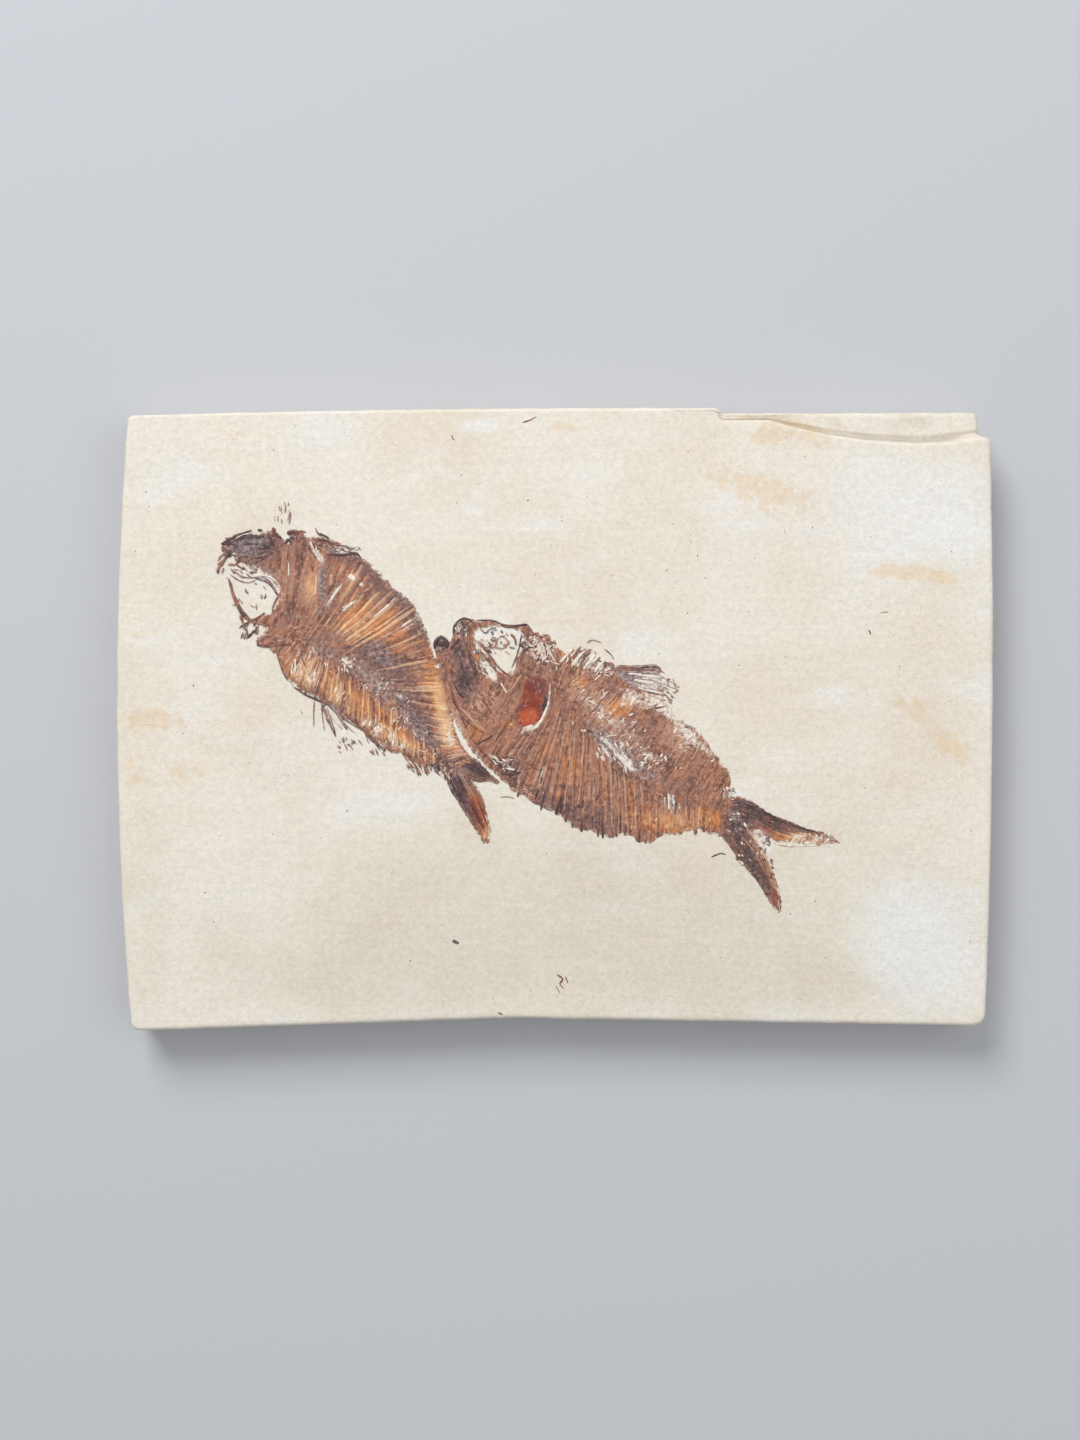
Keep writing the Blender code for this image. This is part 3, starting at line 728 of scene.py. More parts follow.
def makeBones(name, fish, bones, material):
    # all the first rings are made, then every ring is extruded on to its next place at once
    shape = bmesh.new()
    boneTag = shape.verts.layers.int.new("bone")
    cornerTag = shape.verts.layers.int.new("corner")
    paths = np.array([item["path"] for item in bones])
    rings = paths.shape[1] - 1
    flat = paths.reshape(-1, 2)

    def noiseAlong(scale, seed):
        return roughness(flat[:, 0], flat[:, 1], scale, seed).reshape(paths.shape[:2])

    bends = [noiseAlong(*given) for given in bone["wanderNoise"]]
    paths = paths + bone["wander"] * np.stack(bends, axis=2)
    along = np.gradient(paths, axis=1)
    along /= np.linalg.norm(along, axis=2, keepdims=True) + 1e-9
    sideways = np.stack([-along[..., 1], along[..., 0]], axis=2)
    level = stoneHeight(paths[..., 0].ravel(), paths[..., 1].ravel()).reshape(paths.shape[:2])
    level += bone["seat"] + np.array([item["seat"] for item in bones]).reshape(-1, 1)
    level += bone["sink"] * noiseAlong(*bone["sinkNoise"])
    widths = np.array([item["width"] for item in bones])
    widths *= 1 + bone["swell"] * noiseAlong(*bone["swellNoise"])
    heights = np.array([item["height"] for item in bones])
    turns = np.arange(bone["corners"]) * 2 * math.pi / bone["corners"]

    def place(verts, ring):
        for vert in verts:
            index, turn = vert[boneTag], turns[vert[cornerTag]]
            reach = sideways[index, ring] * widths[index, ring] * math.cos(turn)
            spot = paths[index, ring] + reach
            vert.co = (*spot, level[index, ring] + heights[index, ring] * math.sin(turn))

    for index in range(len(bones)):
        made = bmesh.ops.create_circle(shape, cap_ends=False, radius=1.0, segments=bone["corners"])["verts"]
        for corner, vert in enumerate(made):
            vert[boneTag], vert[cornerTag] = index, corner
    place(shape.verts, 0)
    front = list(shape.edges)
    for ring in range(1, rings + 1):
        grown = bmesh.ops.extrude_edge_only(shape, edges=front)["geom"]
        front = [item for item in grown if isinstance(item, bmesh.types.BMEdge)]
        place([item for item in grown if isinstance(item, bmesh.types.BMVert)], ring)
    openEnds = [item for item in shape.edges if item.is_boundary]
    bmesh.ops.holes_fill(shape, edges=openEnds, sides=bone["corners"])
    bmesh.ops.recalc_face_normals(shape, faces=shape.faces)
    owner = np.array([vert[boneTag] for vert in shape.verts])
    shape.verts.layers.int.remove(cornerTag)
    shape.verts.layers.int.remove(shape.verts.layers.int["bone"])
    piece = finishPiece(shape, name, material)
    points = meshPoints(piece.data)
    mottle = bone["mottle"] * roughness(points[:, 0], points[:, 1], *bone["mottleNoise"])
    strength = np.clip(bone["toneStrength"] + mottle, *bone["toneLimits"]).reshape(-1, 1)
    own = np.array([item["own"] for item in bones])[owner] * strength
    paintTones(piece.data, fish, points[:, 0], points[:, 1], own)


ribs = {        # bands of bones that run out from the backbone
    "left": (
        {"along": (0.335, 0.985), "count": 46, "gaps": (1.25, 0.75), "start": (0.08, 0.16),
         "end": (0.93, 1), "width": (0.24, 0.46), "height": 0.1,
         "tones": ("tan", "plain", "gold", "rust", "tan", "gold")},
        {"along": (0.3, 0.985), "count": 44, "gaps": (1.1, 0.85), "start": (-0.2, -0.08),
         "end": (-0.98, -0.86), "width": (0.2, 0.32), "height": 0.09,
         "tones": ("rust", "gold", "tan", "dark", "gold", "plain")},
    ),
    "right": (
        {"along": (0.33, 0.7), "count": 26, "gaps": (1, 0.9), "start": (0.06, 0.12), "end": (0.9, 0.99),
         "width": (0.2, 0.46), "height": 0.1, "tones": ("tan", "tan", "plain", "tan", "rust")},
        {"along": (0.345, 0.715), "count": 26, "gaps": (1, 0.9), "start": (0.2, 0.6), "end": (0.95, 1.04),
         "width": (0.1, 0.36), "height": 0.1, "tones": ("dark", "black", "dark", "dark")},
        {"along": (0.7, 0.985), "count": 30, "gaps": (1, 0.9), "start": (0.06, 0.12), "end": (0.85, 0.98),
         "width": (0.14, 0.22), "height": 0.08, "tones": ("rust", "plain", "tan", "dark")},
        {"along": (0.34, 0.985), "count": 60, "gaps": (1, 0.9), "start": (-0.1, -0.04),
         "end": (-0.98, -0.75), "width": (0.16, 0.16), "height": 0.08,
         "tones": ("plain", "dark", "tan", "plain")},
        {"along": (0.33, 0.47), "count": 12, "gaps": (1, 1), "start": (-0.75, -0.55), "end": (-1.02, -0.9),
         "width": (0.2, 0.16), "height": 0.1, "tones": ("pale", "dark", "tan", "gold")},
    ),
    "jitter": (-0.22, 0.22), "drift": (-0.005, 0.006), "driftPower": 1.5, "steps": 9,
    "stout": (0.75, 1.2), "shade": (-0.3, 0.25),
}


def makeRibs(fish, material):
    random.seed(fish["seed"])
    share = np.linspace(0, 1, ribs["steps"])
    bones = []
    for band in ribs[fish["name"]]:
        low, high = band["along"]
        gaps = np.cumsum(np.linspace(*band["gaps"], band["count"]))
        for index in range(band["count"]):
            place = (gaps[index] - gaps[0] + random.uniform(*ribs["jitter"])) / (gaps[-1] - gaps[0])
            start, end = random.uniform(*band["start"]), random.uniform(*band["end"])
            drift = random.uniform(*ribs["drift"]) * share ** ribs["driftPower"]
            places, _ = bodyPoints(fish, low + (high - low) * place + drift, start + (end - start) * share)
            stout = random.uniform(*ribs["stout"])
            bones.append(newBone(places, band["width"][0] * stout, endWidth=band["width"][1] * stout,
                                 height=band["height"], tone=band["tones"][index % len(band["tones"])],
                                 shade=random.uniform(*ribs["shade"])))
    makeBones(fish["name"] + "Ribs", fish, bones, material)


hairs = {
    "left": 240, "right": 520,
    "along": (0.31, 0.97), "across": (0.02, 0.85), "sides": (-1, -1, -1, 1),
    "bellyPower": 1.6,        # draws those of the belly side in to the backbone
    # how far a hair reaches along and drifts across: the ones that lie along the body, and the rest
    "lyingShare": 0.35, "lying": ((0.014, 0.034), (0.03, 0.16)), "rising": ((-0.003, 0.008), (0.07, 0.2)),
    "paleFrom": (0.0, 0.8), "ashFrom": (0.2, 1.0),        # how much of a tone it takes to turn a hair
    "ashTones": ("grey", "grey", "pale", "dark"), "tones": ("tan", "plain", "plain", "dark", "rust"),
    "width": 0.11, "stout": (0.6, 1.5), "height": 0.06, "seat": 0.04,
}


def makeHairs(fish, material):
    # the fine bones in the flesh: most run out like the ribs, the rest lie along the body
    random.seed(fish["seed"] + 1)
    share = np.linspace(0, 1, 4)
    bones = []
    for _ in range(hairs[fish["name"]]):
        along = random.uniform(*hairs["along"])
        side = random.choice(hairs["sides"])
        across = side * random.uniform(*hairs["across"]) ** (1.0 if side < 0 else hairs["bellyPower"])
        reaches, drifts = hairs["lying" if random.random() < hairs["lyingShare"] else "rising"]
        reach, drift = random.uniform(*reaches), side * random.uniform(*drifts)
        places, _ = bodyPoints(fish, along + reach * share, across + drift * share)
        light = inPatches(*places.T, fish["pale"]).mean() > random.uniform(*hairs["paleFrom"])
        ashen = inPatches(*places.T, fish["ash"]).mean() > random.uniform(*hairs["ashFrom"])
        tone = "pale" if light else random.choice(hairs["ashTones" if ashen else "tones"])
        bones.append(newBone(places, hairs["width"] * random.uniform(*hairs["stout"]), tone=tone,
                             height=hairs["height"], seat=hairs["seat"], rings=3))
    makeBones(fish["name"] + "Hairs", fish, bones, material)


backbone = {
    "left": {"from": 0.3, "to": 0.99, "count": 38, "tones": ("grey", "plain", "grey", "tan")},
    "right": {"from": 0.36, "to": 0.6, "count": 15, "tones": ("plain", "dark", "plain")},
    "between": (0.06, 0.94), "stray": (-0.02, 0.02), "shade": (-0.15, 0.3), "waist": 0.4,
    "drum": {"width": 0.36, "height": 0.13, "blunt": 0.9},
    "ridge": {"width": 0.08, "height": 0.1, "blunt": 0.7, "seat": 0.1},
    "ridgeTones": ("tan", "grey", "tan", "plain"),
}


def makeBackbone(fish, material):
    # each vertebra is a little drum, narrow at its waist, with a ridge along it
    plan = backbone[fish["name"]]
    random.seed(fish["seed"] + 2)
    bones = []
    edges = np.linspace(plan["from"], plan["to"], plan["count"] + 1)
    share = np.linspace(*backbone["between"], 5)
    for start, end in zip(edges[:-1], edges[1:]):
        stray = np.full(len(share), random.uniform(*backbone["stray"]))
        places, _ = bodyPoints(fish, start + (end - start) * share, stray)
        drum = newBone(places, tone=random.choice(plan["tones"]), shade=random.uniform(*backbone["shade"]),
                       **backbone["drum"])
        waist = 1 - backbone["waist"] * np.sin(np.linspace(0, math.pi, len(drum["width"])))
        drum["width"], drum["height"] = drum["width"] * waist, drum["height"] * (0.5 + 0.5 * waist)
        bones += [drum, newBone(places, tone=random.choice(backbone["ridgeTones"]), **backbone["ridge"])]
    makeBones(fish["name"] + "Backbone", fish, bones, material)


skull = {
    "left": (        # tone, half width, half width at the end, points
        ("black", 0.24, 0.12, -57.9, 30.4, -56, 31.4, -54, 32.3, -52.6, 32.9),
        ("black", 0.2, 0.15, -51.6, 32.9, -50.8, 32.8),
        ("dark", 0.32, 0.2, -56.1, 29.6, -57, 28.2, -57.7, 27),
        ("dark", 0.34, 0.22, -57.5, 27.3, -58.2, 26.6, -58.5, 25.3),
        ("grey", 0.14, 0.12, -57.4, 26.3, -57.8, 25.4),
        ("black", 0.3, 0.2, -57.8, 30.2, -57, 30.4, -55.4, 30.2),
        ("dark", 0.42, 0.3, -56.6, 30.6, -54.6, 31.3, -52.6, 31.6, -50.4, 31.6),
        ("dark", 0.4, 0.25, -55.6, 29.8, -53.4, 30.4, -51, 30.3, -49.4, 29.6),
        ("dark", 0.16, 0.12, -55.7, 29.3, -55.1, 29, -54.5, 29),
        ("dark", 0.2, 0.14, -55.2, 27.9, -53.5, 27.2, -51.5, 27),
        ("plain", 0.26, 0.16, -54.8, 28.7, -53, 28.2, -50.6, 28.4, -48.6, 29),
        ("dark", 0.18, 0.12, -55.2, 26.8, -54.6, 26.4, -54, 26.2),
        ("grey", 0.12, 0.1, -56, 25.8, -54.6, 25, -53, 24.6, -51.6, 24.8),
        ("grey", 0.46, 0.16, -52.1, 24.6, -50.9, 24.4, -49.4, 23.6, -48.1, 21.8),
        ("black", 0.2, 0.14, -51.6, 24.5, -50.4, 24.2, -49.2, 23.2, -48.1, 21.6),
        ("pale", 0.2, 0.12, -51.2, 25, -49.6, 24.8, -48.2, 23.8, -47.4, 22.6),
        ("dark", 0.2, 0.42, -56.7, 24.5, -56, 22.4, -55.3, 20.4, -54.7, 19.2, -53.8, 17.9, -52.8, 17.1),
        ("black", 0.22, 0.3, -55.2, 20.2, -54.6, 19, -53.6, 17.7),
        ("dark", 0.24, 0.14, -54.6, 18, -54.1, 16.6, -54, 15.7),
        ("dark", 0.24, 0.14, -54, 16.6, -53.5, 15.5, -53.3, 14.5),
        ("dark", 0.22, 0.14, -53.4, 17, -52.3, 17.3, -51.3, 17.8, -50.3, 18.6),
        ("plain", 0.16, 0.12, -52.9, 16.9, -51.2, 16.6, -49.6, 16.4),
        ("dark", 0.26, 0.18, -51.6, 13.8, -51.4, 12.9, -49.5, 12.7, -47.5, 12.9, -45.5, 13.1),
        ("tan", 0.2, 0.14, -50.9, 14.4, -49.6, 14.8, -48, 14.4, -46.8, 14),
        ("pale", 0.14, 0.1, -55.8, 31, -54.4, 31.9, -53, 32.3),
        ("dark", 0.16, 0.12, -56.4, 28.8, -55, 28.4, -53.6, 28.9, -52.2, 28.4),
        ("grey", 0.1, 0.08, -56.4, 25.2, -55, 24.2, -53.2, 23.8, -51.8, 24.2),
        ("pale", 0.16, 0.14, -46.1, 27.6, -46.1, 26, -46.2, 24.4, -47, 22.7),
        ("gold", 0.4, 0.3, -38.8, 25.2, -38.8, 24.2, -38.9, 23.2),
        ("plain", 0.2, 0.14, -47.4, 22.2, -48.6, 20.2, -49, 18.6),
        ("plain", 0.14, 0.1, -44.6, 29.6, -44, 26, -44.2, 22.4, -45.4, 19),
        ("plain", 0.12, 0.1, -43.2, 30, -42.6, 26.6, -42.6, 22.6, -43.6, 18),
        ("grey", 0.14, 0.1, -40.9, 27.2, -40.7, 24.6, -40.6, 22, -41.2, 18.6, -42.6, 16),
        ("grey", 0.12, 0.1, -40, 26, -39.8, 23.6, -40.1, 20.6, -41, 17),
        ("pale", 0.1, 0.08, -41.6, 25.6, -41.5, 23.6, -41.7, 21.4),
        ("red", 0.26, 0.2, -48.9, 33.4, -48.4, 32.2, -47.4, 31.4),
        ("dark", 0.24, 0.2, -49.9, 32.4, -49.2, 31.2, -48.6, 30),
        ("red", 0.4, 0.34, -46.4, 32.2, -45.4, 32.6, -44.4, 32.4),
        ("dark", 0.16, 0.14, -44.2, 32.8, -43.2, 32.5),
        ("dark", 0.24, 0.2, -46.8, 30.6, -46.2, 31.4, -45.6, 30.2),
        ("pale", 0.14, 0.24, -42.4, 30.9, -41.9, 29.8, -41.2, 28.4, -40.6, 27.2),
        ("dark", 0.1, 0.08, -41.9, 30.2, -41.3, 28.9, -40.8, 27.9),
        ("pale", 0.24, 0.26, -37.2, 18.2, -36.2, 19.4, -35, 20.5),
        ("pale", 0.18, 0.28, -31.5, 17.7, -30.2, 18.7, -28.8, 20),
        ("pale", 0.12, 0.2, -26.8, 15.9, -25.8, 16.6, -24.8, 17.3),
        ("pale", 0.2, 0.28, -38.9, 20.6, -38.2, 21.7, -37.5, 22.8),
        ("pale", 0.6, 0.4, -35.8, 25, -35.2, 24.5, -34.6, 24.2),
        ("pale", 0.32, 0.3, -33.9, 23.5, -33.3, 23.3), ("tan", 0.16, 0.2, -33.4, 22, -32.2, 22.8),
        ("pale", 0.35, 0.2, -36.9, 10.4, -36.4, 10, -36, 9.4),
        ("dark", 0.18, 0.2, -36.7, 1.1, -34.9, -0.3, -32.8, -2.2, -30.5, -4.4),
        ("dark", 0.18, 0.1, -42.9, 30.4, -42.2, 29, -41.4, 27.9),
        ("grey", 0.1, 0.14, -41.6, 33.2, -41.2, 32.4, -40.6, 31.8),
        ("dark", 0.2, 0.14, -41.2, 32.2, -40.2, 31.9, -39.2, 31.3),
        ("dark", 0.18, 0.12, -40.8, 31, -39.6, 30.9, -38.4, 30.4),
        ("dark", 0.12, 0.1, -38.6, 30.4, -37.2, 30.2, -36.2, 30.1),
        ("black", 0.2, 0.2, -39.6, 28.7, -38, 28.6, -36.4, 28.5, -34.8, 28.9, -33.8, 28.2),
        ("dark", 0.1, 0.1, -37.6, 29.8, -36.4, 29.2, -35.2, 29),
        ("dark", 0.16, 0.12, -48.2, 11.8, -47.9, 10.2, -47.2, 8.4, -46.4, 6.8),
        ("dark", 0.16, 0.12, -45.4, 5.6, -43.6, 4.5, -41.6, 3.5, -40, 2.8),
        ("plain", 0.14, 0.12, -39.6, 2.6, -37.6, 0.8, -35.6, -0.5, -33.6, -1.8),
        ("plain", 0.12, 0.12, -33.2, -2.2, -31.6, -3.8, -29.8, -5),
    ),
    "right": (
        ("black", 0.36, 0.3, -20.9, 12.2, -20.7, 13.4, -19.8, 14.2, -18.8, 13.6, -18.6, 12.4),
        ("black", 0.42, 0.36, -20.3, 12.6, -19.8, 13.4, -19.2, 12.8),
        ("black", 0.34, 0.22, -18.1, 12.2, -17.3, 13.2, -16.6, 14.1),
        ("black", 0.2, 0.16, -17.6, 14.6, -17.4, 16.2, -16.4, 17.3, -15.4, 17.6, -14.4, 17, -14.2, 16.2),
        ("dark", 0.18, 0.14, -16.4, 17.2, -16.2, 16, -16.6, 14.8),
        ("dark", 0.3, 0.26, -15.6, 17.4, -15, 15.4, -15, 13.5, -14.8, 12, -14.5, 10.5),
        ("dark", 0.24, 0.16, -14.6, 11.4, -14.1, 9.4, -13.7, 7.6, -13, 6),
        ("black", 0.13, 0.2, -13.6, 17.2, -11.8, 17.3, -10.5, 17, -9, 16.4, -7, 16.2, -5, 16.5),
        ("black", 0.2, 0.16, -9.4, 16.3, -7.4, 16, -5.2, 16.5, -4.4, 16.2),
        ("dark", 0.18, 0.12, -5.2, 16.4, -4.6, 15.4, -4.4, 14.6),
        ("dark", 0.14, 0.12, -4.6, 15.9, -3.6, 14.9, -2.7, 14.3, -1.4, 14.1, -0.8, 13.3, 0, 12),
        ("dark", 0.15, 0.12, -13.8, 13.8, -12, 11.9, -10.5, 10, -9.2, 8.5, -7.5, 7),
        ("dark", 0.12, 0.1, -13, 12, -11.8, 10.4, -10.6, 9, -9.5, 7.8),
        ("dark", 0.2, 0.12, -7.7, 14.8, -7, 14, -6.8, 12.8),
        ("dark", 0.12, 0.1, -5.8, 14.8, -6.2, 12.6, -6.8, 10.6, -7.6, 9),
        ("plain", 0.14, 0.1, -5.2, 13.6, -5.4, 11.8, -6, 10.2),
        ("tan", 0.12, 0.12, -9.3, 14.4, -8.3, 13.9, -8.3, 12.7, -9.3, 12.2, -10.3, 12.7, -10.3, 13.8,
         -9.3, 14.4),
        ("grey", 0.14, 0.1, -13, 15.8, -12, 15, -11.4, 15.6, -10.2, 15.9),
        ("dark", 0.13, 0.12, -4.4, 8.8, -6.2, 6.2, -8.2, 3.8, -10.2, 1.2, -12, -1.6, -13.4, -4.2),
        ("pale", 0.16, 0.18, -9.4, 6.3, -8.3, 4.6),
        ("gold", 0.16, 0.2, -8.2, 4.5, -7.2, 5.8, -6.4, 7, -5.8, 7.8),
        ("dark", 0.18, 0.12, -10.2, 1, -9, 2.8, -7.8, 4.2, -6.2, 5.4),
        ("dark", 0.26, 0.18, -17.9, 9.4, -17.6, 6.8, -16.6, 4.5, -15.4, 3.6),
        ("dark", 0.34, 0.2, -16.4, 10.4, -15.8, 8, -15, 5.8, -14, 4.6),
        ("dark", 0.17, 0.14, -18.9, 11.4, -19, 8.6, -18.2, 5.6, -17.2, 2.8, -16.2, 0.4, -15, -2),
        ("tan", 0.3, 0.26, -16.5, 2.1, -15.2, 0.9, -14, -0.5, -12.5, -1.7, -10.9, -2.6),
        ("dark", 0.14, 0.1, -16.4, 1, -14.9, -0.6, -13.6, -1.8, -12, -2.6),
        ("dark", 0.13, 0.12, -13.8, 0, -12.5, 0.8, -11.6, 0.2, -12.4, -0.3, -13.4, -0.2),
        ("black", 0.16, 0.12, -13.8, -4.8, -13, -4, -11.8, -3.4, -10.8, -2.6),
        ("dark", 0.2, 0.2, -14.6, -3.2, -13.2, -5, -11.6, -6.6, -10, -8.4),
        ("dark", 0.17, 0.14, -0.4, 6, -0.5, 3, -1, 0.8, -1.9, -1, -3.2, -2.5, -4.5, -3.3),
        ("dark", 0.16, 0.12, -3.6, -2.9, -5, -4, -6.2, -4.7, -7.6, -5),
        ("pale", 0.17, 0.36, -0.8, 6.1, -0.9, 4.4, -1.2, 2.6, -1.8, 0.9, -2.8, -0.8, -4, -1.7, -5.4, -1.9),
        ("pale", 0.4, 0.5, -5.7, -1.9, -4.8, -1.6, -3.7, -1.1),
        ("dark", 0.26, 0.2, -1.9, 4.6, -1.6, 3, -2, 1.4),
        ("dark", 0.14, 0.12, -6.2, 6.4, -6.8, 3.6, -7, 1.2, -6.8, -0.8),
        ("dark", 0.14, 0.1, -5.9, 7.9, -4.2, 7.6, -2.6, 7.2, -1.4, 6.5),
        ("red", 0.3, 0.2, -2.2, 5.8, -1.9, 3.6, -2.1, 1.6, -2.8, 0),
        ("plain", 0.12, 0.1, -7.4, 3, -7.8, 0.4, -8, -1.6),
        ("dark", 0.3, 0.2, -9.2, -6.3, -7, -6.6, -5, -7.4, -3.6, -8.2, -2.6, -9),
        ("red", 0.12, 0.1, -8.4, -6.2, -6.6, -6.5, -4.8, -7.3),
        ("pale", 0.2, 0.14, -10.8, -6.5, -10.1, -6.9, -9.5, -7.5),
        ("pale", 0.2, 0.14, -8.5, -8.4, -7.7, -8.6, -7, -8.7),
        ("black", 0.24, 0.2, -9.4, -9.4, -7.6, -9.5, -5.8, -9.3),
        ("dark", 0.2, 0.2, -11, -7.6, -9.6, -8.8, -8, -10.6, -6.6, -12),
        ("dark", 0.16, 0.12, -12.8, 3.8, -11.6, 2.2, -10.8, 0.4, -10.4, -1.4),
        ("tan", 0.14, 0.1, -11.6, 5.4, -10.4, 3.4, -9.8, 1.4),
        ("dark", 0.17, 0.12, 3.9, 0.4, 5.5, -1.5, 7, -3, 8.5, -4.3, 10, -6, 12, -8),
        ("pale", 0.3, 0.22, 0.9, 9.8, 2, 11.1, 3, 12.3), ("pale", 0.34, 0.24, 2.9, 9.2, 4.1, 10.7, 5.3, 12),
        ("pale", 0.32, 0.22, 4.9, 8.7, 6, 10, 7, 11.2), ("pale", 0.28, 0.2, 6.8, 8.2, 7.8, 9.4, 8.7, 10.4),
        ("dark", 0.22, 0.14, 1.9, 9.4, 3.1, 11, 4.3, 12.4),
        ("dark", 0.24, 0.14, 3.9, 8.9, 5.1, 10.4, 6.2, 11.7),
        ("dark", 0.22, 0.14, 5.8, 8.4, 6.9, 9.7, 7.9, 10.8), ("dark", 0.2, 0.12, 8, 8.3, 8.9, 9.3, 9.6, 10),
        ("grey", 0.14, 0.12, 3.5, 10.8, 4.4, 11.6, 5.4, 12.3),
        ("tan", 0.12, 0.1, 4.6, 10.6, 5.4, 11.4, 6.4, 12.2),
        ("grey", 0.1, 0.08, 5.5, 13.2, 6.2, 13.7, 7, 13.7, 8, 13.3),
        ("grey", 0.09, 0.08, 8.6, 12.2, 9.6, 11.4, 10.2, 10.4),
        ("pale", 0.14, 0.1, 2.6, 11.6, 2.9, 10.2, 2.8, 8.6),
        ("pale", 0.14, 0.1, -1.6, 13.2, -0.6, 11.4, 0.2, 9.8),
        ("dark", 0.12, 0.1, 7.2, 10.2, 8.6, 9.9, 10, 9.8),
    ),
    "stout": 1.05, "seat": 0.05,
    "heightMost": 0.16, "heightShare": 0.6,        # how high a bone stands, at most and for its width
}


# Loose and broken bones: x, y, two radii, how many, half length, half width, turn and its spread in
# degrees, and tones.

